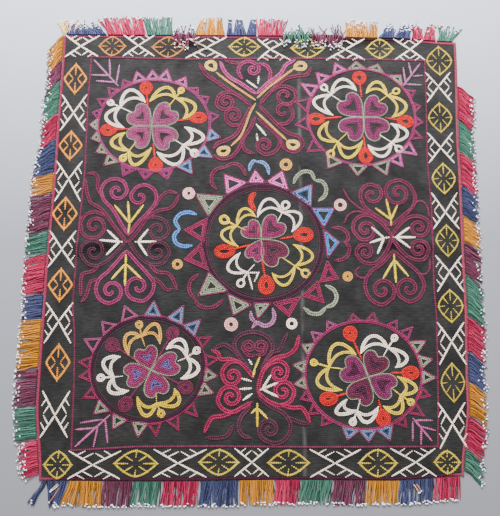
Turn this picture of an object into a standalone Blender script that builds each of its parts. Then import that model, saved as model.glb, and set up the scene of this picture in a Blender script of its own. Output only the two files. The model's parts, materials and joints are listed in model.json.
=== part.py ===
"""Embroidered mirror cover: two cloth panels joined by a middle seam, a narrow edging tape, and a thread fringe.

It lies face up on a level surface, with its underside at z = 0 and the top border towards +Y.
The fringe was sewn on in short lengths of one colour, so each length is a piece of its own.
"""

import math

import bmesh
import bpy
from mathutils import Vector

MM = 0.001
GAP = 0.3  # between neighbouring pieces, in mm as every size below

CLOTH_THICK = 2.0
TAPE_WIDE = 3.6
TAPE_HIGH = 2.4
HEADING_WIDE = 2.5  # the strip that a length of fringe hangs from
HEADING_HIGH = 1.4
LOCK_PITCH = 8.4  # one lock stands for three or four threads
LOCK_WIDE = 5.0
LOCK_END_WIDE = 5.8  # the glass beads at the ends spread it
LOCK_SECTIONS = (0.45, 1.0)  # where a lock has its sections, as shares of its length

# The cover's middle, from the middle of its whole outline with the fringe.
MIDDLE = Vector((3.4, 0.7, 0.0))

# The cloth's four edges, tape included: place along the edge, then how far out the edge lies.
LEFT_EDGE = ((-297, -266), (-200, -275), (-60, -274), (120, -270), (297, -268))
RIGHT_EDGE = ((-292, 252), (-200, 264), (-60, 269), (120, 272), (286, 277))
TOP_EDGE = ((-268, 297), (-100, 296), (60, 295), (180, 292), (277, 286))
BOTTOM_EDGE = ((-266, -297), (-120, -298), (40, -296), (160, -297), (252, -292))
# The seam between the two panels: height on the cover, then its place across.
SEAM = ((-297, -6), (-120, -3), (60, 0), (297, 0))

# Soft ridges left by folding and wear: from, to, half width and height. All end on flat cloth.
RIDGES = (
    ((-268, -5), (-176, -6), 15, 2.6),
    ((-160, -5), (-96, -4), 13, 2.0),
    ((-84, -4), (-12, -3), 10, 1.2),
    ((84, -4), (150, -4), 11, 1.4),
    ((158, -4), (266, -6), 15, 2.4),
    ((58, -288), (58, -96), 9, 1.2),
    ((58, 96), (58, 258), 9, 1.0),
    ((-96, 246), (-52, 241), 8, 1.2),
    ((-190, 66), (-158, 58), 9, 1.3),
    ((-74, 103), (-24, 97), 8, 1.3),
)
# The panels' mesh is laid out on a plain rectangle, then fitted to the edges.
HALF_WIDE = 268
HALF_HIGH = 294
CELL = 22.0  # the cloth's mesh, away from the ridges
TAPE_CELL = 10.0
# Where a panel's mesh is closer, over a ridge or the rounding lower corner: its middle and half width.
LEFT_ROWS = ((-262, 22), (-5, 14), (62, 12), (100, 10), (243, 9))
RIGHT_ROWS = ((-262, 22), (-5, 14))
RIGHT_COLUMNS = ((58, 9),)

# Lengths of fringe along each edge: colour, from, to, lean along the edge in degrees, reach.
# A reach below zero is a length that is folded back over the border.
LEFT_FRINGE = (
    ("gold", 297, 259, -50, 29),
    ("plum", 257, 230, -50, 28),
    ("green", 228, 181, -38, 27),
    ("red", 179, 144, -42, 28),
    ("blue", 142, 97, -30, 29),
    ("gold", 95, 69, -8, 30),
    ("plum", 67, 18, -22, 30),
    ("green", 16, -14, -12, 29),
    ("red", -16, -66, -12, 29),
    ("blue", -68, -99, -10, 27),
    ("gold", -101, -161, -6, 28),
    ("plum", -163, -208, -8, 29),
    ("green", -210, -247, -6, 28),
    ("red", -249, -290, -14, 27),
)
RIGHT_FRINGE = (
    ("red", 220, 171, -40, 27),
    ("green", 169, 125, -42, 26),
    ("red", 123, 79, -38, 26),
    ("blue", 77, 38, -40, 25),
    ("gold", 36, 1, -30, 25),
    ("plum", -1, -42, -34, 25),
    ("green", -44, -96, -38, 26),
    ("red", -98, -141, -36, 26),
    ("blue", -143, -178, -40, 26),
    ("gold", -180, -220, -34, 25),
    ("red", -222, -259, -30, 26),
    ("green", -261, -286, -40, 28),
)
TOP_FRINGE = (
    ("blue", -264, -209, 34, 24),
    ("red", -207, -154, 8, 30),
    ("green", -152, -117, 4, 29),
    ("plum", -115, -87, 4, -24),
    ("gold", -85, -44, -6, 28),
    ("blue", -42, 0, -10, 26),
    ("red", 2, 37, 4, 28),
    ("green", 39, 75, 6, -22),
    ("plum", 77, 121, 4, -24),
    ("gold", 123, 168, -4, 28),
    ("blue", 170, 214, -14, 24),
    ("red", 216, 249, 4, 27),
    ("green", 251, 272, 12, 27),
)
BOTTOM_FRINGE = (
    ("blue", -262, -231, -34, 31),
    ("gold", -229, -189, -6, 30),
    ("plum", -187, -152, -5, 30),
    ("green", -150, -117, -8, 29),
    ("red", -115, -71, -4, 29),
    ("blue", -69, -23, -4, 30),
    ("gold", -21, 20, 0, 29),
    ("red", 22, 52, -6, 29),
    ("green", 54, 91, -14, 28),
    ("plum", 93, 131, -6, 29),
    ("gold", 133, 172, -4, 28),
    ("blue", 174, 214, -5, 29),
    ("red", 216, 246, -4, 28),
)
FRINGES = {"left": LEFT_FRINGE, "right": RIGHT_FRINGE, "top": TOP_FRINGE, "bottom": BOTTOM_FRINGE}
UNEVEN_LEAN = 2.0  # in degrees
UNEVEN_REACH = 0.06
THREAD_COLOURS = {
    "red": "C8405C",
    "green": "4F9A7C",
    "gold": "D09030",
    "plum": "7A3A58",
    "blue": "42487C",
}


def linear(hex_colour):
    """A colour written as sRGB hex, as linear values with an alpha of 1."""
    parts = [int(hex_colour[i : i + 2], 16) / 255 for i in (0, 2, 4)]
    return [c / 12.92 if c <= 0.04045 else ((c + 0.055) / 1.055) ** 2.4 for c in parts] + [1.0]


def make_material(name, hex_colour, roughness):
    material = bpy.data.materials.new(name)
    material.use_nodes = True
    shader = material.node_tree.nodes["Principled BSDF"]
    shader.inputs["Base Color"].default_value = linear(hex_colour)
    shader.inputs["Roughness"].default_value = roughness
    shader.inputs["Metallic"].default_value = 0.0
    return material


def along(table, at):
    """The second column of a table at a place in its first, smoothed between the rows."""
    at = min(max(at, table[0][0]), table[-1][0])
    for (a, low), (b, high) in zip(table, table[1:]):
        if at <= b:
            t = (at - a) / (b - a)
            return low + (high - low) * t * t * (3 - 2 * t)
    return table[-1][1]


def ridge_height(x, y):
    """How far the folds lift the cloth there, zero on flat cloth."""
    height = 0.0
    for (ax, ay), (bx, by), half, top in RIDGES:
        dx, dy = bx - ax, by - ay
        long = math.hypot(dx, dy)
        t = ((x - ax) * dx + (y - ay) * dy) / long
        off = abs((x - ax) * dy - (y - ay) * dx) / long
        end = min(t, long - t) / (2 * half)
        if off < half and end > 0:
            height = max(height, top * (1 - (off / half) ** 2) ** 2 * min(1.0, end) ** 2)
    return height


def edge_point(side, at, out):
    """A point by an edge: at is the place along it, and out how far outside it the point lies."""
    if side == "left":
        return Vector((along(LEFT_EDGE, at) - out, at, 0))
    if side == "right":
        return Vector((along(RIGHT_EDGE, at) + out, at, 0))
    if side == "top":
        return Vector((at, along(TOP_EDGE, at) + out, 0))
    return Vector((at, along(BOTTOM_EDGE, at) - out, 0))


OUTWARD = {"left": Vector((-1, 0, 0)), "right": Vector((1, 0, 0)), "top": Vector((0, 1, 0)),
           "bottom": Vector((0, -1, 0))}
# The way along each edge in which a lean above zero goes.
ONWARD = {"left": Vector((0, 1, 0)), "right": Vector((0, 1, 0)), "top": Vector((1, 0, 0)),
          "bottom": Vector((1, 0, 0))}


def add_object(name, mesh_source, material, collection, whole):
    """A named object from a bmesh in mm, parented to the cover's own empty."""
    for vertex in mesh_source.verts:
        vertex.co = (vertex.co + MIDDLE) * MM
    mesh = bpy.data.meshes.new(name)
    mesh_source.to_mesh(mesh)
    mesh_source.free()
    piece = bpy.data.objects.new(name, mesh)
    piece.data.materials.append(material)
    piece.parent = whole
    collection.objects.link(piece)
    return piece


def thicken(piece, thickness):
    """Cloth grows upwards from the face that lies on the surface."""
    solidify = piece.modifiers.new("thickness", "SOLIDIFY")
    solidify.thickness = thickness * MM
    solidify.offset = 1.0


def grid_lines(low, high, fine):
    """Places from low to high: every cell, and closer across each fold in fine."""
    places = {low, high}
    count = round((high - low) / CELL)
    for i in range(1, count):
        place = low + (high - low) * i / count
        if all(abs(place - middle) > half + 4 for middle, half in fine):
            places.add(place)
    for middle, half in fine:
        places.update(
            p for p in (middle + half * k for k in (-1, -0.5, 0, 0.5, 1)) if low + 4 < p < high - 4
        )
    return sorted(places)


def make_panel(name, material, collection, whole):
    """One cloth panel, from the seam to the tape on its three other sides."""
    inset = TAPE_WIDE + GAP
    left = name == "panel_left"
    columns = grid_lines(-HALF_WIDE, 0, ()) if left else grid_lines(0, HALF_WIDE, RIGHT_COLUMNS)
    rows = grid_lines(-HALF_HIGH, HALF_HIGH, LEFT_ROWS if left else RIGHT_ROWS)
    bm = bmesh.new()
    bmesh.ops.create_grid(bm, x_segments=len(columns) - 1, y_segments=len(rows) - 1, size=1)
    for vertex in bm.verts:
        column = columns[round((vertex.co.x + 1) / 2 * (len(columns) - 1))]
        row = rows[round((vertex.co.y + 1) / 2 * (len(rows) - 1))]
        # Across and up depend on each other, and settle in three rounds.
        x, y = column, row
        for _ in range(3):
            seam = along(SEAM, y) + (-GAP / 2 if left else GAP / 2)
            rim = along(LEFT_EDGE, y) + inset if left else along(RIGHT_EDGE, y) - inset
            x = seam + (rim - seam) * abs(column) / HALF_WIDE
            low, high = along(BOTTOM_EDGE, x) + inset, along(TOP_EDGE, x) - inset
            y = low + (high - low) * (row + HALF_HIGH) / (2 * HALF_HIGH)
        vertex.co = (x, y, ridge_height(x, y))
    panel = add_object(name, bm, material, collection, whole)
    thicken(panel, CLOTH_THICK)


def make_tape(side, material, collection, whole):
    """The edging along one side. The long sides run to the corners, and the others fit between."""
    upright = side in ("left", "right")
    table = {"left": LEFT_EDGE, "right": RIGHT_EDGE, "top": TOP_EDGE, "bottom": BOTTOM_EDGE}[side]
    trim = 0.0 if upright else TAPE_WIDE + GAP
    start, end = table[0][0] + trim, table[-1][0] - trim
    steps = round((end - start) / TAPE_CELL)
    bm = bmesh.new()
    bmesh.ops.create_grid(bm, x_segments=steps, y_segments=1, size=1)
    for vertex in bm.verts:
        at = start + (end - start) * (vertex.co.x + 1) / 2
        point = edge_point(side, at, 0.0 if vertex.co.y > 0 else -TAPE_WIDE)
        vertex.co = (point.x, point.y, 0.0)
    bm.normal_update()
    if bm.faces[:][0].normal.z < 0:
        bmesh.ops.reverse_faces(bm, faces=bm.faces[:])
    tape = add_object("edging_" + side, bm, material, collection, whole)
    thicken(tape, TAPE_HIGH)


def lean_at(lengths, at):
    """The lean of the locks that lie outwards, combed evenly from one length to the next."""
    rows = sorted(((start + end) / 2, lean) for _, start, end, lean, reach in lengths if reach > 0)
    if at <= rows[0][0]:
        return rows[0][1]
    for (a, low), (b, high) in zip(rows, rows[1:]):
        if at <= b:
            return low + (high - low) * (at - a) / (b - a)
    return rows[-1][1]


def flat_path(side, at, lean, reach):
    """A lock that lies on the surface: it leaves the heading straight and bends to its lean."""
    sections = []
    root = edge_point(side, at, GAP + HEADING_WIDE)
    for share in LOCK_SECTIONS:
        turned = math.radians(lean) * min(1.0, 0.45 + share)
        way = OUTWARD[side] * math.cos(turned) + ONWARD[side] * math.sin(turned)
        across = Vector((way.y, -way.x, 0))
        wide = (LOCK_WIDE + (LOCK_END_WIDE - LOCK_WIDE) * share) * math.cos(turned)
        centre = root + way * (reach - GAP - HEADING_WIDE) * share
        sections.append((centre + Vector((0, 0, HEADING_HIGH / 2)), across, Vector((0, 0, 1)), wide))
    return sections


def folded_path(side, at, lean, reach):
    """A lock that turns up and lies back over the tape and the border."""
    sections = []
    over = TAPE_HIGH + GAP + HEADING_HIGH / 2
    profile = (
        (GAP + HEADING_WIDE + 1.6, 1.5, 50),
        (GAP + HEADING_WIDE + 0.6, over + 0.9, 150),
        (-reach * 0.3, over + 1.0, 178),
        (-reach * 0.7, over + 0.3, 184),
        (-reach, over + 0.1, 184),
    )
    for out, high, turned in profile:
        slide = ONWARD[side] * math.tan(math.radians(lean)) * max(0.0, -out)
        centre = edge_point(side, at, out) + slide + Vector((0, 0, high))
        up = Vector((0, 0, 1)) * math.cos(math.radians(turned)) \
            - OUTWARD[side] * math.sin(math.radians(turned))
        across = Vector((OUTWARD[side].y, -OUTWARD[side].x, 0))
        sections.append((centre, across, up, LOCK_WIDE))
    return sections


def make_fringe(name, side, start, end, reach, material, collection, whole):
    """One length of fringe: a narrow heading, and locks drawn out of its outer face."""
    start, end = min(start, end), max(start, end)
    locks = max(3, round((end - start) / LOCK_PITCH))
    pitch = (end - start) / locks
    places = [start]
    for i in range(locks):
        middle = start + (i + 0.5) * pitch
        places += [middle - LOCK_WIDE / 2, middle + LOCK_WIDE / 2]
    places.append(end)
    bm = bmesh.new()
    bmesh.ops.create_grid(bm, x_segments=len(places) - 1, y_segments=1, size=1)
    for vertex in bm.verts:
        at = places[round((vertex.co.x + 1) / 2 * (len(places) - 1))]
        point = edge_point(side, at, GAP + (HEADING_WIDE if vertex.co.y > 0 else 0.0))
        vertex.co = point
    raised = bmesh.ops.extrude_face_region(bm, geom=bm.faces[:])
    for item in raised["geom"]:
        if isinstance(item, bmesh.types.BMVert):
            item.co.z = HEADING_HIGH
    bmesh.ops.recalc_face_normals(bm, faces=bm.faces)
    for i in range(locks):
        draw_lock(bm, side, start + (i + 0.5) * pitch, reach)
    bmesh.ops.recalc_face_normals(bm, faces=bm.faces)
    add_object(name, bm, material, collection, whole)


def draw_lock(bm, side, middle, reach):
    """Draws the heading's outer face at one place out along a lock's sections."""
    outward = OUTWARD[side]
    root = edge_point(side, middle, GAP + HEADING_WIDE)
    face = min(
        (f for f in bm.faces if f.normal.dot(outward) > 0.7),
        key=lambda f: (f.calc_center_median() - root).length,
    )
    path = flat_path if reach > 0 else folded_path
    lean = lean_at(FRINGES[side], middle) + UNEVEN_LEAN * math.sin(3.1 * middle)
    long = abs(reach) * (1 + UNEVEN_REACH * math.sin(7.3 * middle))
    centre, across, up = face.calc_center_median(), Vector((outward.y, -outward.x, 0)), Vector((0, 0, 1))
    for new_centre, new_across, new_up, wide in path(side, middle, lean, long):
        face = bmesh.ops.extrude_discrete_faces(bm, faces=[face])["faces"][0]
        for vertex in face.verts:
            offset = vertex.co - centre
            sideways = math.copysign(wide / 2, offset.dot(across))
            upwards = math.copysign(HEADING_HIGH / 2, offset.dot(up))
            vertex.co = new_centre + new_across * sideways + new_up * upwards
        centre, across, up = new_centre, new_across, new_up


def main():
    for old in list(bpy.data.objects):
        bpy.data.objects.remove(old, do_unlink=True)
    collection = bpy.data.collections.new("embroidered_mirror_cover")
    bpy.context.scene.collection.children.link(collection)
    whole = bpy.data.objects.new("mirror_cover", None)
    collection.objects.link(whole)

    ground = make_material("ground_cloth", "35383A", 0.9)
    edging = make_material("edging_tape", "A83660", 0.8)
    threads = {name: make_material("thread_" + name, c, 0.7) for name, c in THREAD_COLOURS.items()}

    for name in ("panel_left", "panel_right"):
        make_panel(name, ground, collection, whole)
    for side in ("left", "right", "top", "bottom"):
        make_tape(side, edging, collection, whole)
    for side, lengths in FRINGES.items():
        for i, (colour, start, end, _, reach) in enumerate(lengths, 1):
            name = f"fringe_{side}_{i:02d}"
            make_fringe(name, side, start, end, reach, threads[colour], collection, whole)


main()
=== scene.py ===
"""Embroidered mirror cover: the looks of the part, in the part's own frame.

Two black cloth panels carry rows of silk chain stitch. A crimson tape edges them, and a fringe of
twisted threads with glass beads lies round it on the floor. The rows and threads are drawn here as
lines in millimetres on the cover, and Geometry Nodes set a stitch, a thread or a bead on each.
"""

import json
import math
import random
from collections import namedtuple

import bmesh
import bpy
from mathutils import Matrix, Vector

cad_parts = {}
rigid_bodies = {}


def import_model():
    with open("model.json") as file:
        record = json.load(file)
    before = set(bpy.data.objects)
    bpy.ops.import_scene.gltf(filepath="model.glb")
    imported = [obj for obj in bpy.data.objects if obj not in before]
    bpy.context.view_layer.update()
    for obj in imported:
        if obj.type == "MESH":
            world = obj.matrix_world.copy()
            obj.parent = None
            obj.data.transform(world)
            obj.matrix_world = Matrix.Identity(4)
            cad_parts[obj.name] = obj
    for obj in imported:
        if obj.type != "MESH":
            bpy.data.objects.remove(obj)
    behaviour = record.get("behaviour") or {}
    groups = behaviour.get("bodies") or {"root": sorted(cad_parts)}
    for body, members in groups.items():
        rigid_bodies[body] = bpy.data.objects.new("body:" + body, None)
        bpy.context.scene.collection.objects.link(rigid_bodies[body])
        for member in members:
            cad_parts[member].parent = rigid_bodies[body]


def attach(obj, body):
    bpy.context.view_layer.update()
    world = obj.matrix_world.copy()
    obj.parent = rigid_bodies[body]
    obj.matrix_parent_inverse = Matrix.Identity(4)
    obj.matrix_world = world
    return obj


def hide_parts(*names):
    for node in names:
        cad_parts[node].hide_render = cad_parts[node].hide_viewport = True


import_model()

bl_info = {
    "name": "Embroidered mirror cover",
    "version": (1, 0, 0),
    "blender": (4, 5, 0),
    "location": "3D View > Sidebar > Mirror cover",
    "description": "Builds the cloth, edging, embroidery and beaded fringe of a mirror cover",
    "category": "Add Mesh",
}

MM = 0.001

# The cover's middle, from the middle of its whole outline with the fringe. In mm, as all below.
MIDDLE = Vector((3.4, 0.7, 0.0))
GAP = 0.3  # between neighbouring pieces
CLOTH_THICK = 2.0
TAPE_WIDE = 3.6
TAPE_HIGH = 2.4
HALF_WIDE = 268
HALF_HIGH = 294
UPRIGHT = ("left", "right")  # the sides that run up the cover
OUTWARD = {"left": Vector((-1, 0, 0)), "right": Vector((1, 0, 0)), "top": Vector((0, 1, 0)),
           "bottom": Vector((0, -1, 0))}

# The cloth's four edges, tape included: places along the edge, and where the edge lies there.
EDGES = {
    "left": ((-297, -266), (-200, -275), (-60, -274), (120, -270), (297, -268)),
    "right": ((-292, 252), (-200, 264), (-60, 269), (120, 272), (286, 277)),
    "top": ((-268, 297), (-100, 296), (60, 295), (180, 292), (277, 286)),
    "bottom": ((-266, -297), (-120, -298), (40, -296), (160, -297), (252, -292)),
}
# The seam between the two panels: height on the cover, then its place across.
SEAM = ((-297, -6), (-120, -3), (60, 0), (297, 0))
# Soft ridges left by folding and wear: from, to, half width and height.
RIDGES = (
    ((-268, -5), (-176, -6), 15, 2.6), ((-160, -5), (-96, -4), 13, 2.0),
    ((-84, -4), (-12, -3), 10, 1.2), ((84, -4), (150, -4), 11, 1.4), ((158, -4), (266, -6), 15, 2.4),
    ((58, -288), (58, -96), 9, 1.2), ((58, 96), (58, 258), 9, 1.0), ((-96, 246), (-52, 241), 8, 1.2),
    ((-190, 66), (-158, 58), 9, 1.3), ((-74, 103), (-24, 97), 8, 1.3),
)
CREASE_AT = 58  # how far across the pale upright crease lies
# Painted shade in the hollows along the middle fold and under the tangled fringe: middle and two radii.
SHADED_HOLLOWS = (
    (-205, -6, 26, 9), (-131, -5, 15, 7), (175, -4, 17, 6), (218, -6, 15, 6), (0, -5, 60, 4),
    (130, 297, 100, 20), (-95, 284, 24, 10),
)

# Lengths of fringe along each edge, from where the first starts: colour, where it ends, lean along
# the edge in degrees and reach. A reach below zero is a length folded back over the border.
FRINGES = {
    "left": (297, ("gold", 259, -50, 29), ("plum", 230, -50, 28), ("green", 181, -38, 27),
             ("red", 144, -42, 28), ("blue", 97, -30, 29), ("gold", 69, -8, 30), ("plum", 18, -22, 30),
             ("green", -14, -12, 29), ("red", -66, -12, 29), ("blue", -99, -10, 27),
             ("gold", -161, -6, 28), ("plum", -208, -8, 29), ("green", -247, -6, 28),
             ("red", -290, -14, 27)),
    "right": (220, ("red", 171, -40, 27), ("green", 125, -42, 26), ("red", 79, -38, 26),
              ("blue", 38, -40, 25), ("gold", 1, -30, 25), ("plum", -42, -34, 25),
              ("green", -96, -38, 26), ("red", -141, -36, 26), ("blue", -178, -40, 26),
              ("gold", -220, -34, 25), ("red", -259, -30, 26), ("green", -286, -40, 28)),
    "top": (-264, ("blue", -209, -34, 24), ("red", -154, -14, 30), ("green", -117, -5, 29),
            ("plum", -87, 4, -24), ("gold", -44, -6, 28), ("blue", 0, -10, 26), ("red", 37, 4, 28),
            ("green", 75, 6, -22), ("plum", 121, 4, -24), ("gold", 168, -4, 28), ("blue", 214, -14, 24),
            ("red", 249, 4, 27), ("green", 272, 12, 27)),
    "bottom": (-262, ("blue", -231, -34, 31), ("gold", -189, -6, 30), ("plum", -152, -5, 30),
               ("green", -117, -8, 29), ("red", -71, -4, 29), ("blue", -23, -4, 30),
               ("gold", 20, 0, 29), ("red", 52, -6, 29), ("green", 91, -14, 28), ("plum", 131, -6, 29),
               ("gold", 172, -4, 28), ("blue", 214, -5, 29), ("red", 246, -4, 28)),
}
LENGTH_GAP = 2  # from one length to the next
# Share of each side's threads that end in a bead.
BEADED = {"left": 0.338, "right": 0.26, "top": 0.26, "bottom": 0.312}
# Lengths, by side and number, that have drawn together into tufts. Each tuft is where it starts
# along the edge, and where its tips lie.
GATHERED = {
    ("top", 1): ((-264, -264), (-244, -252), (-222, -238)),
    ("top", 5): ((-85, -74), (-70, -63), (-56, -53)), ("top", 6): ((-42, -38), (-33, -24), (-14, -4)),
    ("top", 10): ((123, 130), (138, 148), (156, 166)), ("top", 11): ((170, 190), (192, 212)),
    ("top", 12): ((216, 224), (232, 244)), ("top", 13): ((251, 262), (264, 284)),
    ("bottom", 1): ((-262, -284), (-256, -246)),
}
# Lengths that are tousled.
TOUSLED = (("left", 14), ("top", 1), ("top", 10), ("top", 11), ("top", 12), ("top", 13))
# Loose ends: colour, hex, where they start and the way they go, and how many from each start.
STRAYS = (
    ("yellow", "E8CC62", ((-265, 300, 95),), 11), ("purple", "8066A0", ((-258, 300, 100),), 7),
    ("tan", "D8B88A", ((-256, 300, 60), (-240, -301, -140), (188, -300, -80)), 3),
)

SILKS = {
    "ivory": "FDEBDA", "blush": "F0AEAA", "yellow": "E3C337", "straw": "D69C4C", "wheat": "E4BA58",
    "gold": "D09C44", "mustard": "C0A83A", "corn": "D3AE22", "orange": "D8882F", "peach": "B4753A",
    "coral": "C4211F", "pale_blue": "6A84B4", "slate": "6A7896", "navy": "28405C", "blue": "527EC0",
    "periwinkle": "5A4C84", "grey_green": "858C75", "lilac": "9E648A", "mauve": "A0517E",
    "orchid": "8C4268", "berry": "82305C", "pink": "DA68B2", "carnation": "B65A96", "fuchsia": "A64076",
    "violet": "782C56", "rose": "822D55", "garnet": "7E2647", "magenta": "652840", "crimson": "922348",
    "maroon": "4F2A3A", "claret": "62283F", "wine": "481E36", "plum": "381D2D", "charcoal": "2E3033",
}
THREADS = {"red": "9C2847", "green": "406859", "gold": "B07325", "plum": "603244", "blue": "3B3F5E"}

# A row of chain stitch: its silk, its points on the cover, whether it closes, and how wide it is.
Row = namedtuple("Row", "silk points closed wide")
ROW_WIDE = 2.1  # most rows
PITCH = 0.95  # of neighbouring rows, as a share of their width
STITCH_HIGH = 0.95
SUNK = 0.1  # how far the foot of a stitch lies in the cloth


def linear(hex_colour):
    """A colour written as sRGB hex, as linear values with an alpha of 1."""
    parts = [int(hex_colour[i : i + 2], 16) / 255 for i in (0, 2, 4)]
    return [c / 12.92 if c <= 0.04045 else ((c + 0.055) / 1.055) ** 2.4 for c in parts] + [1.0]


def along(table, at):
    """The second column of a table at a place in its first, smoothed between the rows."""
    at = min(max(at, table[0][0]), table[-1][0])
    for (a, low), (b, high) in zip(table, table[1:]):
        if at <= b:
            t = (at - a) / (b - a)
            return low + (high - low) * t * t * (3 - 2 * t)
    return table[-1][1]


def ridge_height(x, y):
    """How far the folds lift the cloth there, zero on flat cloth."""
    height = 0.0
    for (ax, ay), (bx, by), half, top in RIDGES:
        dx, dy = bx - ax, by - ay
        long = math.hypot(dx, dy)
        t = ((x - ax) * dx + (y - ay) * dy) / long
        off = abs((x - ax) * dy - (y - ay) * dx) / long
        end = min(t, long - t) / (2 * half)
        if off < half and end > 0:
            height = max(height, top * (1 - (off / half) ** 2) ** 2 * min(1.0, end) ** 2)
    return height


# Lines


def towards(degrees):
    """A unit vector on the cover in that direction."""
    return Vector((math.cos(math.radians(degrees)), math.sin(math.radians(degrees))))


def straight(points, closed=False):
    """A line from point to point, with a point at each millimetre."""
    points = [Vector(p) for p in points]
    line = []
    for start, end in zip(points, points[1:] + points[:1] if closed else points[1:]):
        steps = max(1, round((end - start).length))
        line += [start.lerp(end, k / steps) for k in range(steps)]
    return line if closed else line + [points[-1]]


def smooth(points):
    """A smooth line through the points, with a point at about each millimetre."""
    points = [Vector(p) for p in points]
    points = [2 * points[0] - points[1]] + points + [2 * points[-1] - points[-2]]
    line = []
    for before, start, end, after in zip(points, points[1:], points[2:], points[3:]):
        pairs = ((before, start), (start, end), (end, after))
        d0, d1, d2 = (math.sqrt((b - a).length) for a, b in pairs)
        leave = ((start - before) / d0 - (end - before) / (d0 + d1)) * d1 + (end - start)
        arrive = ((after - end) / d2 - (after - start) / (d1 + d2)) * d1 + (end - start)
        steps = max(2, round((end - start).length))
        for k in range(steps):
            t = k / steps
            line.append(
                start * (2 * t**3 - 3 * t * t + 1) + leave * (t**3 - 2 * t * t + t)
                + end * (3 * t * t - 2 * t**3) + arrive * (t**3 - t * t)
            )
    return line + [points[-2]]


def coiled(points, centre, pitch, eye=1.5):
    """A smooth line through the points that then winds in round a middle, by pitch each turn, and
    leaves an eye of that radius."""
    line, centre = smooth(points), Vector(centre)
    start = line[-1] - centre
    turn = 1 if start.cross(line[-1] - line[-2]) > 0 else -1
    sweep = 2 * math.pi * (start.length - eye) / pitch
    steps = round(sweep * (start.length + eye) / 2)
    for k in range(1, steps + 1):
        a = math.atan2(start.y, start.x) + turn * sweep * k / steps
        reach = start.length + (eye - start.length) * k / steps
        line.append(centre + Vector((math.cos(a), math.sin(a))) * reach)
    return line


def arc(start, far, end, spread):
    """A bow from start to end that passes the point far; a larger spread makes its back flatter."""
    start, far, end = Vector(start), Vector(far), Vector(end)
    middle = (8 * far - start - end) / 6
    a, b = middle - (end - start) * spread, middle + (end - start) * spread
    steps = max(6, round((far - start).length + (end - far).length))
    line = []
    for k in range(steps + 1):
        t = k / steps
        s = 1 - t
        line.append(start * s**3 + a * 3 * s * s * t + b * 3 * s * t * t + end * t**3)
    return line


def ellipse(centre, rx, ry):
    """A closed ellipse, counter-clockwise."""
    steps = max(10, round(2 * math.pi * max(rx, ry)))
    turns = (2 * math.pi * k / steps for k in range(steps))
    return [Vector((centre[0] + rx * math.cos(a), centre[1] + ry * math.sin(a))) for a in turns]


# Half a heart from its point to its cleft, as shares of its length and width.
HEART_HALF = ((0, 0), (0.2, 0.22), (0.46, 0.43), (0.7, 0.5), (0.91, 0.41), (0.98, 0.21), (0.86, 0.0))


def heart(apex, angle, length, width):
    """A closed heart with its point at apex, opening in the direction of angle in degrees."""
    way = towards(angle)
    across = Vector((-way.y, way.x))
    half = smooth([(up * length, side * width) for up, side in HEART_HALF])
    whole = half + [Vector((p.x, -p.y)) for p in half[-2:0:-1]]
    return [Vector(apex) + way * p.x + across * p.y for p in whole]


def teardrop(centre, rx, ry, root):
    """A closed ellipse drawn out to a soft point on the side that faces its root."""
    centre = Vector(centre)
    way = (Vector(root) - centre).normalized()
    line = []
    for point in ellipse(centre, rx, ry):
        facing = max(0.0, (point - centre).normalized().dot(way))
        line.append(centre + (point - centre) * (1 + 0.22 * facing**6))
    return line


def inset(outline, depth):
    """A closed outline moved inwards, without the points that would land nearer to it than that."""
    area = sum(a.cross(b) for a, b in zip(outline, outline[1:] + outline[:1]))
    turn = 1 if area > 0 else -1
    moved = []
    for i, point in enumerate(outline):
        ahead = outline[(i + 1) % len(outline)] - outline[i - 1]
        target = point + Vector((-ahead.y, ahead.x)).normalized() * turn * depth
        if all((target - other).length > depth * 0.96 for other in outline):
            moved.append(target)
    return moved


def shifted(line, by):
    """An open line moved sideways, with its two ends drawn together."""
    moved = []
    for i, point in enumerate(line):
        ahead = line[min(i + 1, len(line) - 1)] - line[max(i - 1, 0)]
        end = min(1.0, 0.35 + min(i, len(line) - 1 - i) / 8)
        moved.append(point + Vector((-ahead.y, ahead.x)).normalized() * by * end)
    return moved


# Motifs, each a list of rows


def filled(silk, outline, rows, wide=ROW_WIDE, first=0.5):
    """Rows inside a closed outline, side by side from its edge inwards. The middle of the first
    lies that share of its width inside the outline."""
    made = []
    for k in range(rows):
        ring = inset(outline, wide * (first + k * PITCH))
        if len(ring) < 6:
            break
        made.append(Row(silk, ring, True, wide))
    return made


def band(silk, line, rows=2, wide=ROW_WIDE):
    """Rows side by side along an open line."""
    places = [(k - (rows - 1) / 2) * wide * PITCH for k in range(rows)]
    return [Row(silk, shifted(line, place), False, wide) for place in places]


def stroke(silk, points, wide):
    """One straight line of stitches."""
    return [Row(silk, straight(points), False, wide)]


def solid(silk, outline, depth):
    """Rows that fill a closed outline from its edge to just that depth."""
    rows = max(1, round(depth / (ROW_WIDE * PITCH)))
    return filled(silk, outline, rows, depth / (1 + (rows - 1) * PITCH))


def drop(silk, centre, rx, ry, stem, hole):
    """A solid drop with a small hole, and its straight stem."""
    made = solid(silk, teardrop(centre, rx, ry, stem), min(rx, ry) - hole)
    way = (Vector(stem) - Vector(centre)).normalized()
    return made + stroke(silk, (Vector(centre) + way * max(rx, ry), stem), 3.4)


# Triangles in the blue-grey silks have a navy row inside, and the pale ones a thin rose outline.
NAVY_INSIDE = ("pale_blue", "slate")
ROSE_OUTSIDE = ("pale_blue", "slate", "blue", "grey_green", "pink", "carnation")


def triangle(silk, corners, rows, wide):
    """A triangle of rows with an open middle."""
    outline = straight(corners, closed=True)
    made = filled(silk, outline, rows, wide)
    if silk in NAVY_INSIDE:
        made += filled("navy", outline, 1, wide, 0.5 + rows * PITCH)
    if silk in ROSE_OUTSIDE:
        made += filled("rose", outline, 1, 1.3, -0.5)
    return made


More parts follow.
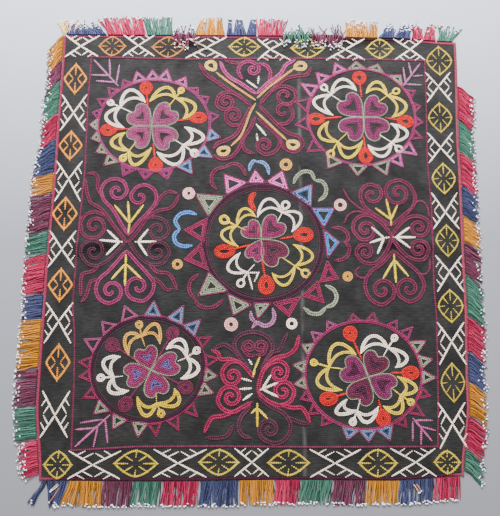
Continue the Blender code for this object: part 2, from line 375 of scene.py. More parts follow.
def ring_triangle(silk, ring, tip, half, rows=2):
    """A triangle that stands on a medallion's ring with its tip at a given place."""
    x, y, rx, ry = ring
    turn = math.atan2((tip[1] - y) / ry, (tip[0] - x) / rx)
    step = half / ((rx + ry) / 2)
    turns = (turn - step, turn + step)
    feet = [(x + (rx + 1) * math.cos(a), y + (ry + 1) * math.sin(a)) for a in turns]
    return triangle(silk, (*feet, tip), rows, 1.7)


def leaf(silk, root, far, tip, rows, wide):
    """A hollow crescent leaf: its back passes the point far, and its belly is less bowed."""
    root, far, tip = Vector(root), Vector(far), Vector(tip)
    out = far - (root + tip) / 2
    back = arc(root, far - out.normalized() * rows * 0.9, tip, 0.28)
    belly = arc(root, (root + tip) / 2 + out * 0.4, tip, 0.22)
    return band(silk, back, rows, wide) + band(silk, belly, 2, wide - 0.4)


def spray(silk, root, bud, radius, leaves, stem, rows, hole, wide):
    """A flower seen from the side: two leaves and a bud on one root, with a stem to the heart."""
    made = []
    for far, tip in leaves:
        made += leaf(silk, root, far, tip, rows, wide)
    way = (Vector(bud) - Vector(root)).normalized()
    made += solid(silk, teardrop(bud, radius, radius, root), radius - hole)
    made += stroke(silk, (root, Vector(bud) - way * radius * 0.8), 3.0)
    return made + stroke(silk, (root, stem), 1.8)


# One long side of a lozenge, as shares of its half length and half width, then its rays: places
# on its outline, and where they end inside it. The orange ones have straighter sides.
LOZENGE_SIDE = ((-1, 0), (-0.62, 0.54), (-0.3, 0.87), (0, 1), (0.3, 0.87), (0.62, 0.54), (1, 0))
ORANGE_SIDE = ((-1, 0), (-0.64, 0.43), (-0.32, 0.76), (0, 1), (0.32, 0.76), (0.64, 0.43), (1, 0))
RAYS = (
    ((0.95, 0), (0.36, 0)), ((0.52, 0.6), (0.16, 0.22)), ((-0.52, 0.6), (-0.16, 0.22)),
    ((0.04, 0.95), (0, 0.5)),
)
ORANGE_RAYS = (((0.95, 0), (0.28, 0)), ((0.38, 0.6), (0.06, 0.24)), ((-0.38, 0.6), (-0.06, 0.24)))


def lozenge(silk, centre, along_half, across_half, upright):
    """A pointed oval with rays that reach in from it towards an open middle."""

    def place(point, turn=1):
        u, v = point[0] * along_half * turn, point[1] * across_half * turn
        return Vector(centre) + Vector((v, u) if upright else (u, v))

    plan, rays, wide = LOZENGE_SIDE, RAYS, 2.4 if upright else 2.9
    if silk == "orange":
        plan, rays, wide = ORANGE_SIDE, ORANGE_RAYS, 3.3
    sides = [smooth([place(p, turn) for p in plan])[:-1] for turn in (1, -1)]
    made = filled(silk, sides[0] + sides[1], 1, wide)
    for turn in (1, -1):
        for start, end in rays:
            made += stroke(silk, (place(start, turn), place(end, turn)), wide - 0.6)
    return made


# Where the barbs of a cross leave an arm, and their length, as shares of the arm's.
BARBS = ((0.45, 0.38), (0.7, 0.3))


def cross(centre, start, end, half, wide, upright):
    """Four arms from one middle, with barbs in the two openings that face the border's edges."""
    centre = Vector(centre)
    u, v = Vector((1, 0)), Vector((0, 1))
    if upright:
        u, v = v, u
    made = []
    for side in (-1, 1):
        arms = [u * (reach - centre.dot(u)) + v * side * half for reach in (end, start)]
        for arm, other in (arms, arms[::-1]):
            made += stroke("ivory", (centre, centre + arm), wide)
            for place, long in BARBS:
                foot = centre + arm * place
                made += stroke("ivory", (foot, foot + other * long), wide - 0.7)
    return made


def trident(silk, foot, node, tips):
    """A stem that parts into three."""
    made = stroke(silk, (foot, node), 3.8)
    for tip in tips:
        made += stroke(silk, (node, tip), 3.8)
    return made


# Where the motifs lie on the cover, read and set down.

FRAME_LINE = (
    (-228, 264), (-100, 260.5), (0, 261.5), (100, 261.5), (232, 258.5), (231, 200), (228, 110),
    (230, 50), (229, 0), (227.5, -60), (228.8, -100), (227, -150), (225, -200), (221.5, -257.5),
    (60, -258), (-50, -257), (-150, -257.5), (-228, -262), (-229, -180), (-231.5, -120), (-236, -80),
    (-234, 0), (-229, 100), (-230, 200),
)

# The border's crosses: middle, then the places along the border where the arms end.
CROSSES = {
    "top": (((-243.6, 280), -264, -219), ((-164, 281), -184, -142), ((-69, 278), -97, -42),
            ((19, 275), 2, 46), ((123, 275), 97, 149), ((213, 275), 191, 232)),
    "right": (((249, 219.6), 197, 240), ((247, 131), 110, 152), ((248, 41), 19, 67),
              ((248.6, -39), -64, -18), ((246, -129), -157, -105), ((241, -230), -259, -205)),
    "bottom": (((-201, -279), -230, -168), ((-97, -277), -126, -63), ((-6.7, -276), -27, 13),
               ((95, -277), 65, 126), ((193.5, -276), 164, 217)),
    "left": (((-248.5, 181), 156, 207), ((-250, 87), 57, 111), ((-253.5, -9), -32, 15),
             ((-252.5, -103), -130, -80), ((-250.5, -220), -246, -191)),
}
CROSS_HALF = {"top": 15.5, "right": 16.5, "bottom": 16, "left": 16.5}
CROSS_WIDE = {"top": 3.2, "right": 2.9, "bottom": 2.6, "left": 3.0}
# The border's lozenges: silk, middle, half length along the border, half width.
LOZENGES = {
    "top": (("peach", (-200, 280), 20, 15.5), ("peach", (-122, 278.5), 24.5, 16.5),
            ("mustard", (-17, 279), 23, 15), ("mustard", (71, 277), 25, 15.5),
            ("mustard", (170.6, 276), 20.5, 15.5)),
    "right": (("mustard", (252, 258), 22.5, 18), ("mustard", (248.6, 174), 22.5, 16.5),
              ("mustard", (248.5, 87.5), 22.5, 16), ("mustard", (248, 2.5), 22.5, 15.5),
              ("mustard", (247.5, -83.5), 22.5, 16.5), ("mustard", (244.5, -180), 25.5, 15.5)),
    "bottom": (("mustard", (-243.6, -279), 18.5, 17), ("mustard", (-148.5, -277.5), 28.5, 16.5),
               ("mustard", (-47, -276), 26, 16), ("mustard", (38, -276.5), 27, 16),
               ("mustard", (147, -277), 25, 17), ("mustard", (232, -276), 17.5, 14.5)),
    "left": (("orange", (-248.5, 231), 24, 16.5), ("orange", (-250, 134), 22, 16.5),
             ("orange", (-252.5, 39), 24, 17), ("orange", (-253, -56), 23, 16.5),
             ("orange", (-250.5, -155), 24.5, 16)),
}

# A medallion's ring is middle x, middle y and its two radii. Its rows are silk, how far inside the
# ring and width. Triangles stand on it by their tips: silk, half width, tips and, where it isn't
# two, the number of rows. A heart is silk, direction, length and width, and its core silk and rows.
# A drop is its middle, two radii and the end of its stem. A spray is silk, root, bud, the bud's
# radius, two leaves and the end of its stem. Under leaf are the rows in a leaf's back, the radius
# of a bud's hole and a row's width; hole is that of a drop.
MEDALLIONS = {
    "top_left": {
        "ring": (-139, 164, 75.5, 65), "ring_rows": (("berry", -0.9, 1.9), ("berry", 0.9, 1.9)),
        "triangles": (
            ("carnation", 9.5, ((-165, 242), (-143, 244), (-123, 245), (-97, 234))),
            ("berry", 10.5, ((-79, 219), (-63, 205), (-49, 177))),
            ("berry", 9.5, ((-184, 231), (-205, 219), (-219, 202), (-225, 182))),
            ("grey_green", 9.5, ((-226, 164), (-223, 144), (-215, 124), (-204, 106))),
            ("berry", 12, ((-179, 89), (-149, 84), (-118, 84)), 3),
            ("pale_blue", 10, ((-86, 94), (-59, 117), (-49, 146))),
        ),
        "junction": (-142, 162),
        "hearts": (("orchid", 138, 37, 36), ("orchid", 42, 40, 36), ("orchid", 222, 36, 36),
                   ("orchid", 318, 40, 36)),
        "heart_core": ("rose", 1), "leaf": (2, 1.0, 2.5), "drop_silk": "coral", "hole": 1.2,
        "drops": (((-151, 218), 9.3, 9.3, (-148, 190)), ((-78, 174), 11, 8.5, (-106, 170)),
                  ((-201, 156), 10.5, 9, (-174, 158)), ((-135, 106), 10, 10, (-139, 136))),
        "sprays": (
            ("ivory", (-185, 189), (-199, 196), 5.2,
             (((-174, 216), (-152, 197)), ((-206, 174), (-180, 160))), (-170, 182)),
            ("yellow", (-111, 202), (-103, 214), 5.2,
             (((-124, 220), (-145, 198)), ((-82, 192), (-99, 173))), (-121, 189)),
            ("ivory", (-99, 135), (-83, 123), 6.2,
             (((-70, 145), (-97, 160)), ((-106, 106), (-133, 124))), (-112, 143)),
            ("yellow", (-171, 127), (-179, 116), 5.6,
             (((-197, 137), (-178, 152)), ((-162, 105), (-142, 130))), (-163, 138)),
        ),
    },
    "top_right": {
        "ring": (142, 176, 72.5, 69.5), "ring_rows": (("rose", -0.9, 2.1), ("rose", 0.9, 2.1)),
        "triangles": (
            ("carnation", 10, ((60, 224), (82, 240), (108, 255), (195, 104))),
            ("grey_green", 12.5, ((137, 257), (167, 253), (198, 236), (173, 92), (134, 91), (95, 102))),
            ("rose", 9, ((219, 214), (225, 191), (227, 167), (225, 144))),
            ("carnation", 10.5, ((215, 120),)), ("rose", 12, ((66, 124), (50, 163), (50, 197))),
        ),
        "junction": (145, 175),
        "hearts": (("violet", 135, 40, 37), ("violet", 43, 36, 34), ("violet", 225, 38, 37),
                   ("violet", 315, 38, 37)),
        "heart_core": ("maroon", 1), "leaf": (2, 2.2, 2.3), "drop_silk": "coral", "hole": 2.4,
        "drops": (((141, 233), 10, 9.5, (143, 205)), ((80, 172), 11, 9, (114, 175)),
                  ((202, 168.5), 10.5, 9.5, (175, 174)), ((146, 119), 10, 11, (144, 147))),
        "sprays": (
            ("ivory", (102, 207), (92, 218.5), 5.6, (((116, 232), (136, 214)), ((76, 197), (103, 178))),
             (115, 198)),
            ("yellow", (178, 206), (191, 213), 5.4,
             (((166, 228), (150, 210)), ((205, 192), (184, 175))), (166, 197)),
            ("ivory", (181, 139), (191, 129), 5.8, (((205, 151), (182, 165)), ((169, 117), (150, 134))),
             (166, 149)),
            ("yellow", (109.5, 140), (99, 122), 6.0, (((83, 147), (97, 168)), ((122, 115), (142, 140))),
             (121, 151)),
        ),
    },
    "bottom_left": {
        "ring": (-137, -162.5, 71.5, 66),
        "ring_rows": (("garnet", -1.6, 1.5), ("plum", 0.2, 2.2), ("plum", 2.2, 2.2),
                      ("maroon", 5.0, 1.2)),
        "triangles": (
            ("slate", 10, ((-132, -77), (-94, -83), (-72, -101))),
            ("orchid", 12, ((-170, -81), (-199, -102), (-221, -125))),
            ("garnet", 9.5, ((-227, -154), (-225, -173), (-219, -200), (-124, -247), (-96, -240),
                             (-72, -223), (-45, -150), (-56, -122))),
            ("grey_green", 9.5, ((-202, -218), (-178, -236), (-147, -246), (-55, -193), (-50, -172))),
        ),
        "junction": (-133, -164),
        "hearts": (("rose", 110, 31, 31), ("rose", 197, 35, 32), ("rose", 17, 37, 31),
                   ("rose", 288, 35, 33)),
        "heart_core": ("periwinkle", 2), "leaf": (2, 1.0, 2.5), "drop_silk": "magenta", "hole": 1.2,
        "drops": (((-183, -133), 9.5, 9.5, (-140, -160)), ((-107, -118), 8.5, 8.5, (-129, -157)),
                  ((-89, -186), 9.5, 9, (-127, -167)), ((-164, -207), 9.5, 9.5, (-137, -169))),
        "sprays": (
            ("gold", (-146, -123), (-150, -107), 5.4,
             (((-167, -120), (-162, -145)), ((-128, -105), (-123, -131))), (-142, -134)),
            ("ivory", (-89, -149), (-76, -140), 5.4,
             (((-95, -125), (-114, -138)), ((-72, -164), (-95, -175))), (-99, -153)),
            ("corn", (-125, -205), (-119, -218), 5.4,
             (((-139, -222), (-149, -198)), ((-98, -208), (-103, -188))), (-126, -194)),
            ("ivory", (-179, -173), (-196, -174), 5.4,
             (((-195, -154), (-173, -148)), ((-185, -192), (-161, -190))), (-169, -172)),
        ),
    },
    "bottom_right": {
        "ring": (133, -170, 73, 67), "ring_rows": (("rose", -1.0, 2.2), ("garnet", 1.0, 2.2)),
        "triangles": (
            ("orchid", 9, ((67, -115), (88, -101))),
            ("rose", 9, ((122, -92), (149, -90), (179, -100), (199, -109))),
            ("grey_green", 9, ((213, -128), (220, -151), (224, -174), (46, -182), (45, -158),
                               (56, -133))),
            ("garnet", 9.5, ((217, -197), (208, -222), (185, -236), (78, -234), (62, -220),
                             (52, -201))),
            ("slate", 10.5, ((163, -250), (137, -252), (111, -249))),
        ),
        "junction": (139, -173),
        "hearts": (("violet", 156, 36, 36), ("claret", 62, 34, 35), ("violet", 332, 37, 34),
                   ("claret", 243, 36, 36)),
        "heart_core": ("wine", 2), "leaf": (2, 0.8, 2.4), "drop_silk": "coral", "hole": 1.1,
        "drops": (((118, -118), 9.5, 9.5, (131, -150)), ((193, -168), 10.5, 9, (168, -168)),
                  ((156, -224), 9.5, 10, (151, -202)), ((88, -200), 11, 9, (112, -193))),
        "sprays": (
            ("yellow", (91, -161), (71, -155), 5.0,
             (((98, -131), (124, -145)), ((74, -182), (105, -189))), (107, -163)),
            ("ivory", (165, -137), (174, -124), 5.0,
             (((146, -120), (131, -143)), ((190, -148), (174, -161))), (159, -147)),
            ("yellow", (178, -195), (191, -204), 5.0,
             (((200, -187), (176, -173)), ((178, -218), (157, -209))), (168, -187)),
            ("ivory", (124, -214), (118, -228), 5.2,
             (((97, -218), (111, -201)), ((136, -230), (150, -210))), (128, -201)),
        ),
    },
    "centre": {
        "ring": (8, 0, 78.5, 78.5),
        "ring_rows": (("maroon", -1.2, 1.7), ("plum", 0.6, 2.3), ("plum", 2.7, 2.3),
                      ("maroon", 4.6, 1.6), ("maroon", 7.4, 1.2)),
        "triangles": (), "junction": (5.6, 5),
        "hearts": (("rose", 136, 29, 29), ("rose", 46, 37, 34), ("magenta", 312, 41, 38),
                   ("rose", 246, 32, 26)),
        "heart_core": ("maroon", 2), "leaf": (2, 2.6, 2.0), "drop_silk": "coral", "hole": 2.2,
        "drops": (((62, 10.5), 12.5, 10.5, (31, 5)), ((-43, -12), 13, 9.5, (-8, -3)),
                  ((12, -57), 11, 12, (7, -25))),
        "sprays": (
            ("ivory", (33, 40), (38, 51), 6.4, (((15, 61), (1, 35)), ((59, 38), (46, 15))), (27, 28)),
            ("yellow", (-26, 22), (-43, 31), 7.0, (((-19, 47), (-2, 35)), ((-48, 11), (-25, -5))),
             (-15, 17)),
            ("yellow", (49, -31), (63, -41), 6.4, (((74, -18), (48, -3)), ((37, -58), (20, -41))),
             (34, -21)),
            ("ivory", (-12, -39), (-21, -54), 6.0, (((-39, -36), (-22, -14)),), (-4, -30)),
        ),
    },
}
# Large triangles: silk, how many rows deep, a row's width, and three corners.
STAR_TRIANGLES = (
    ("pink", 2, 2.25, (-43, 93), (-13, 82), (-40, 66)), ("pink", 2, 2.4, (-2, 99), (-11, 82), (11, 82)),
    ("pink", 2, 2.65, (34, 98), (13, 83), (42, 71)),
    ("pale_blue", 2, 2.2, (73, 79), (45, 68), (71, 49)),
    ("blue", 2, 2.4, (102, 46), (72, 46), (88, 21)), ("blue", 2, 2.15, (107, 0), (88, 17), (92, -20)),
    ("garnet", 3, 2.15, (107, -49), (91, -22), (79, -54)),
    ("garnet", 3, 2.15, (87, -81), (79, -49), (56, -71)),
    ("garnet", 3, 2.3, (41, -99), (18, -79), (58, -70)),
    ("grey_green", 2, 2.4, (1, -100), (-4, -80), (17, -80)),
    ("grey_green", 2, 2.6, (-30, -95), (-37, -68), (-8, -82)),
    ("grey_green", 3, 2.4, (-62, -40), (-75, -70), (-38, -64)),
    ("garnet", 3, 2.3, (-96, -23), (-72, 1), (-61, -39)),
    ("garnet", 3, 2.2, (-97, 17), (-64, 35), (-68, -2)),
    ("grey_green", 3, 2.4, (-81, 66), (-43, 63), (-64, 36)),
)
# Spots: silk, middle, radius and the hole's radius.
STAR_DISCS = (
    ("blush", (-90, 67), 8.5, 2.0), ("straw", (39, 107), 8.5, 3.0), ("blush", (110, 51), 8.5, 3.2),
    ("straw", (117, -45), 6.8, 1.3), ("ivory", (44, -106), 7.5, 2.6), ("blush", (-33, -107), 9, 2.4),
    ("straw", (-103, -29), 7.2, 2.6),
)
# Bows: silk, then the points of one or two arches.
BOWS = (
    ("magenta", ((-54, 73), (-60, 82), (-59, 94), (-51, 101), (-42, 102)),
     ((-42, 102), (-36, 107), (-28, 108), (-20, 103), (-15, 92))),
    ("pale_blue", ((-10, 99), (-8, 107), (-4, 112), (0, 111)),
     ((0, 111), (8, 110), (14, 104), (16, 94))),
    ("grey_green", ((49, 81), (53, 90), (62, 97), (72, 96), (77, 85)),
     ((77, 85), (87, 83), (92, 74), (90, 64), (82, 57))),
    ("magenta", ((99, 20), (110, 19), (118, 12), (119, 4), (114, 0)),
     ((114, 0), (120, -7), (118, -17), (110, -23), (101, -24))),
    ("grey_green", ((89, -57), (98, -62), (102, -71), (98, -81), (88, -85)),
     ((88, -85), (80, -93), (69, -93), (60, -86))),
    ("lilac", ((-8, -91), (-7, -99), (-1, -105))),
    ("lilac", ((-6, -111), (0, -105), (9, -109), (18, -106), (22, -97), (20, -87))),
    ("magenta", ((-76, -42), (-86, -52), (-87, -64), (-80, -75)),
     ((-80, -75), (-74, -83), (-62, -86), (-52, -83), (-44, -76))),
    ("blue", ((-80, 38), (-90, 41), (-101, 38), (-107, 29), (-101, 18)),
     ((-101, 18), (-108, 9), (-105, -1), (-96, -5), (-85, -4))),
)

# The width of each of a horned cross's paired rows.
HORN_WIDE = {"top": 3.25, "left": 2.95, "right": 3.05, "bottom": 3.2}
# The horned crosses: silk, the line's points and, where the line coils at its end, the coil's
# middle and how far it winds in with each turn.
HORNS = {
    "top": (
        ("magenta", ((-8, 192), (-20, 202), (-36, 213), (-58, 229), (-70, 238), (-79, 253))),
        ("fuchsia", ((-1, 209), (-12, 217), (-23, 225), (-35, 232), (-44, 242), (-50, 256))),
        ("fuchsia", ((0, 209), (14, 223), (33, 239), (41, 252), (53, 259))),
        ("magenta", ((5, 194), (15, 207), (28, 221), (42, 232), (58, 235), (69, 237), (75, 247))),
        ("magenta", ((-16, 200), (-28, 208), (-40, 211), (-51, 206), (-55, 196)), (-42, 197), 8),
        ("magenta", ((-22, 164), (-33, 163), (-41, 170), (-42, 180)), (-31, 177), 8),
        ("magenta", ((-7, 191), (-13, 179), (-20, 165), (-29, 149), (-42, 141), (-52, 137),
                     (-58, 130))),
        ("magenta", ((-2, 174), (-8, 160), (-18, 144), (-24, 130), (-34, 118), (-47, 115), (-57, 120))),
        ("magenta", ((-14, 149), (-19, 138), (-15, 127), (-4, 123))),
        ("magenta", ((2, 172), (18, 158), (31, 143), (37, 131), (48, 125), (57, 125))),
        ("magenta", ((4, 191), (14, 180), (28, 164), (44, 151), (57, 146), (62, 136), (58, 127))),
        ("magenta", ((20, 212), (30, 219), (42, 219), (52, 213), (54, 204)), (39, 206), 12),
        ("magenta", ((28, 165), (41, 166), (49, 177), (46, 190)), (36, 183), 12),
        ("rose", ((-20, 231), (-25, 242), (-21, 253), (-10, 257), (1, 252)), (-5, 245), 7),
        ("magenta", ((-22, 254), (-32, 255), (-43, 258))),
        ("rose", ((17, 227), (19, 240), (14, 250), (5, 254))),
        ("magenta", ((28, 149), (31, 136), (25, 126), (12, 121), (3, 126)), (11, 134), 8),
    ),
    "left": (
        ("rose", ((-168, 10), (-178, 25), (-190, 45), (-202, 58), (-206, 72), (-200, 83), (-188, 87),
                  (-177, 83), (-172, 73)), (-185, 70), 11),
        ("rose", ((-168, 10), (-155, 28), (-140, 44), (-133, 57), (-135, 70), (-146, 78), (-158, 76),
                  (-166, 66)), (-155, 62), 11),
        ("magenta", ((-170, 0), (-176, 8), (-184, 18), (-195, 33), (-206, 46), (-219, 54), (-224, 66),
                     (-228, 86))),
        ("magenta", ((-203, 62), (-211, 74), (-211, 87), (-217, 95), (-225, 94))),
        ("magenta", ((-135, 47), (-126, 63), (-117, 69), (-106, 67))),
        ("magenta", ((-168, 0), (-162, 7), (-155, 16), (-145, 31), (-132, 42), (-112, 48), (-103, 64))),
        ("magenta", ((-200, 36), (-212, 41), (-224, 38), (-231, 27), (-229, 14)), (-213, 22), 11.5),
        ("maroon", ((-146, 32), (-134, 34), (-121, 29), (-115, 18)), (-130, 17), 11),
        ("maroon", ((-170, 2), (-175, -4), (-183, -14), (-195, -25), (-208, -31), (-221, -27),
                    (-229, -15)), (-212, -12), 11),
        ("maroon", ((-168, 2), (-163, -5), (-157, -14), (-146, -25), (-134, -30), (-121, -27),
                    (-114, -16)), (-130, -13), 10.5),
        ("rose", ((-170, -11), (-180, -24), (-192, -38), (-204, -50), (-207, -62), (-202, -74),
                  (-190, -80), (-178, -75)), (-188, -64), 12),
        ("rose", ((-169, -11), (-156, -26), (-142, -41), (-133, -54), (-135, -67), (-146, -77),
                  (-159, -75)), (-153, -59), 13),
        ("magenta", ((-205, -31), (-212, -38), (-225, -42), (-227, -52), (-226, -70))),
        ("magenta", ((-204, -48), (-214, -52), (-217, -62), (-220, -72), (-225, -78))),
        ("magenta", ((-140, -28), (-129, -39), (-115, -41), (-109, -48), (-103, -62))),
        ("magenta", ((-136, -46), (-124, -54), (-117, -62), (-108, -62))),
    ),
    "right": (
        ("magenta", ((175, 22), (160, 34), (143, 47), (137, 60), (139, 72), (149, 79), (161, 76)),
         (152, 65), 12),
        ("magenta", ((175, 22), (192, 36), (206, 49), (209, 63), (202, 78), (190, 85), (177, 82)),
         (187, 67), 11),
        ("magenta", ((177, 8), (170, 18), (160, 29), (143, 37), (129, 30), (126, 17), (134, 5)),
         (142, 17), 9),
        ("magenta", ((177, 9), (171, -6), (163, -19), (152, -28), (137, -26), (129, -15)), (141, -13),
         8),
        ("magenta", ((176, 9), (181, 16), (188, 25), (200, 34), (214, 35), (226, 27), (223, 14)),
         (212, 20), 8),
        ("magenta", ((176, 8), (181, -2), (188, -12), (202, -22), (217, -22), (223, -11)), (210, -9),
         8),
        ("magenta", ((177, -11), (163, -27), (146, -40), (139, -56), (145, -74), (160, -82),
                     (173, -74)), (161, -63), 11),
        ("magenta", ((177, -11), (192, -25), (209, -41), (215, -56), (209, -71), (196, -78),
                     (184, -72)), (195, -61), 11),
    ),
    "bottom": (
        ("crimson", ((-5, -174), (-13, -163), (-25, -154), (-36, -156), (-44, -167), (-41, -178)),
         (-31, -172), 8),
        ("crimson", ((-20, -156), (-34, -151), (-46, -151), (-50, -143), (-57, -140))),
        ("crimson", ((-7, -204), (-18, -210), (-30, -216), (-42, -213), (-49, -203), (-46, -192)),
         (-33, -198), 9),
        ("crimson", ((-30, -216), (-44, -221), (-56, -223), (-61, -231), (-65, -240))),
        ("crimson", ((1, -193), (3, -178), (8, -165), (18, -156), (30, -154), (38, -162), (37, -172)),
         (27, -168), 8),
        ("crimson", ((8, -163), (22, -150), (38, -146), (48, -138), (53, -122))),
        ("crimson", ((1, -192), (14, -203), (29, -208), (41, -203), (46, -191), (41, -182)), (32, -191),
         9),
        ("crimson", ((30, -208), (45, -211), (55, -211), (61, -219), (65, -228))),
        ("maroon", ((-10, -164), (-22, -148), (-29, -133), (-23, -122), (-9, -117), (3, -118),
                    (15, -125), (20, -136), (14, -150), (5, -163))),
        ("magenta", ((-1, -146), (-11, -146), (-18, -138)), (-10, -136), 6),
        ("magenta", ((-1, -146), (8, -144), (12, -135)), (4, -136), 6),
        ("maroon", ((-55, -138), (-42, -133), (-30, -140), (-20, -152), (-10, -164))),
        ("maroon", ((8, -156), (20, -142), (29, -139), (33, -129), (38, -119))),
        ("maroon", ((1, -197), (16, -209), (33, -218), (41, -232), (36, -247), (22, -254), (9, -250)),
         (15, -237), 9),
        ("maroon", ((38, -222), (51, -228), (63, -231))),
        ("maroon", ((-8, -209), (-20, -222), (-23, -235), (-18, -244), (-8, -247))),
        ("maroon", ((-30, -232), (-37, -244), (-48, -247), (-62, -247))),
    ),
}
# Thin tendrils of the right cross, one row wide.
TENDRILS = (
    ("magenta", ((115, 72), (121, 60), (131, 50), (145, 40))),
    ("magenta", ((115, 27), (120, 37), (130, 42), (142, 40))),
    ("magenta", ((198, 38), (206, 49), (213, 56), (220, 55), (225, 47), (226, 36))),
    ("magenta", ((147, -42), (138, -47), (130, -45), (127, -39), (132, -33))),
    ("magenta", ((208, -41), (217, -42), (223, -35), (224, -22))),
)
# Long yellow stems of the top cross: the line, then the ring at its end with two radii.
RING_STEMS = (
    (((-2, 200), (-16, 210), (-34, 223), (-55, 240)), (-63, 251), 8.8, 8.4),
    (((1, 203), (16, 218), (32, 231), (51, 246)), (61, 250), 9, 7.6),
    (((-2, 194), (-9, 181), (-15, 163), (-22, 147), (-34, 134)), (-45, 126), 9, 7.4),
    (((0, 182), (14, 168), (27, 155), (40, 142)), (49, 135), 9, 7.4),
)
# Three-pronged strokes: silk, foot, where it parts, and three tips.
TRIDENTS = {
    "left": (
        ("yellow", (-168, 14), (-167, 26), ((-187, 50), (-170, 55), (-150, 50))),
        ("yellow", (-170, -17), (-170, -28), ((-187, -48), (-170, -56), (-150, -47))),
        ("ivory", (-176, 1), (-179, 1), ((-195, 16), (-204, 3), (-195, -16))),
        ("ivory", (-158, 1), (-155, 1), ((-143, 17), (-132, 1), (-143, -17))),
    ),
    "right": (
        ("yellow", (176, 24), (176, 31), ((157, 46), (171, 58), (185, 50))),
        ("yellow", (178, -16), (178, -23), ((163, -47), (179, -52), (195, -44))),
        ("ivory", (172, 7), (166, 6), ((151, 20), (148, 0), (157, -14))),
        ("ivory", (178, 7), (181, 7), ((199, 20), (206, 7), (198, -7))),
    ),
    "bottom": (
        ("ivory", (4, -189), (6, -188), ((17, -171), (26, -180), (25, -197))),
        ("yellow", (0, -233), (0, -211), ((0, -206), (-7, -217), (12, -223))),
    ),
}
SHORT_STROKES = {
    "top": (("ivory", (-13, 228), (0, 218)), ("ivory", (3, 234), (2, 225)),
            ("ivory", (0, 164), (12, 149)), ("ivory", (0, 150), (1, 142))),
    "bottom": (("ivory", (-19, -175), (-8, -178)), ("ivory", (-21, -188), (-8, -187)),
               ("ivory", (-17, -201), (-7, -194)), ("yellow", (-5, -172), (-3, -163)),
               ("yellow", (-3, -163), (3, -149)), ("ivory", (-10, -152), (-7, -157))),
    "centre": (("ivory", (-12, -39), (-6, -61)), ("ivory", (-11, -40), (2, -40)),
               ("ivory", (2, -40), (-3, -51)), ("coral", (2, 20), (1, 12))),
}
# The corner sprigs: silk, the stem, then the strokes that leave it.
SPRIGS = (
    ("lilac", (-190, 221), (-224, 259), ((-201, 237), (-203, 260)), ((-192, 225), (-189, 251)),
     ((-203, 236), (-226, 237)), ((-196, 226), (-219, 228))),
    ("lilac", (201, 221), (225, 253), ((213, 236), (210, 254)), ((204, 226), (202, 247)),
     ((216, 235), (227, 236)), ((205, 223), (225, 222))),
    ("mauve", (-183, -220), (-223, -257), ((-192, -225), (-218, -229)), ((-197, -235), (-223, -237)),
     ((-197, -235), (-201, -257)), ((-188, -225), (-184, -252))),
    ("mauve", (193, -224), (214, -250), ((195, -226), (216, -226)), ((200, -233), (219, -238)),
     ((202, -237), (201, -254)), ((192, -228), (191, -250))),
)


def medallion_rows(name):
    """All rows of one medallion."""
    plan = MEDALLIONS[name]
    x, y, rx, ry = plan["ring"]
    rows = []
    for silk, inwards, wide in plan["ring_rows"]:
        rows.append(Row(silk, ellipse((x, y), rx - inwards, ry - inwards), True, wide))
    for silk, half, tips, *deep in plan["triangles"]:
        for tip in tips:
            rows += ring_triangle(silk, plan["ring"], tip, half, *deep)
    core, depth = plan["heart_core"]
    for silk, *size in plan["hearts"]:
        outline = heart(plan["junction"], *size)
        rows += filled("grey_green", outline, 1, 1.5)
        rows += filled(silk, outline, 3, 2.4, 1.1)
        rows += filled(core, outline, depth, 2.4, 1.1 + 3 * PITCH)
    for shape in plan["drops"]:
        rows += drop(plan["drop_silk"], *shape, plan["hole"])
    for shape in plan["sprays"]:
        rows += spray(*shape, *plan["leaf"])
    return rows


def star_rows():
    """What stands round the centre medallion: large triangles, spots and bows, and its cut drop."""
    rows = []
    for silk, depth, wide, *corners in STAR_TRIANGLES:
        rows += triangle(silk, corners, depth, wide)
    for silk, centre, radius, hole in STAR_DISCS:
        rows += solid(silk, ellipse(centre, radius, radius), radius - hole)
    for silk, *arches in BOWS:
        for points in arches:
            rows += band(silk, smooth(points), 2, 3.1)
    cut = smooth(((-1, 69), (-8, 67), (-12, 58), (-9, 48), (-2, 41)))
    notch = smooth(((-0.6, 43), (-1.5, 48), (-4.3, 55), (-3.4, 60), (-1.2, 63), (-0.8, 67)))
    rows += filled("coral", cut + notch, 3)
    for silk, *ends in SHORT_STROKES["centre"]:
        rows += stroke(silk, ends, 3.0)
    return rows


def horn_rows(name):
    """One horned cross."""
    rows = []
    for silk, points, *coil in HORNS[name]:
        rows += band(silk, coiled(points, *coil) if coil else smooth(points), 2, HORN_WIDE[name])
    if name == "right":
        for silk, points in TENDRILS:
            rows += band(silk, smooth(points), 1, 3.3)
    if name == "top":
        for points, centre, rx, ry in RING_STEMS:
            rows += band("straw", smooth(points), 2, 1.65)
            rows += filled("wheat", teardrop(centre, rx, ry, points[-1]), 3, 1.8)
    for shape in TRIDENTS.get(name, ()):
        rows += trident(*shape)
    for silk, *ends in SHORT_STROKES.get(name, ()):
        rows += stroke(silk, ends, 3.8)
    return rows


def sprig_rows():
    """The lilac sprigs in the field's corners."""
    rows = []
    for silk, root, end, *strokes in SPRIGS:
        rows += stroke(silk, (root, end), 3.5)
        for ends in strokes:
            rows += stroke(silk, ends, 3.2)
    return rows


def border_rows(side):
    """The crosses and lozenges along one side."""
    upright = side in UPRIGHT
    rows = []
    for shape in CROSSES[side]:
        rows += cross(*shape, CROSS_HALF[side], CROSS_WIDE[side], upright)
    for shape in LOZENGES[side]:
        rows += lozenge(*shape, upright)
    return rows


def frame_rows():
    """The line round the field, and the seam between the panels."""
    seam = [Vector((along(SEAM, y), y)) for y in range(-290, 292, 2)]
    return [Row("magenta", straight(FRAME_LINE, closed=True), True, 3.1),
            Row("charcoal", seam, False, 1.4)]


# Nodes


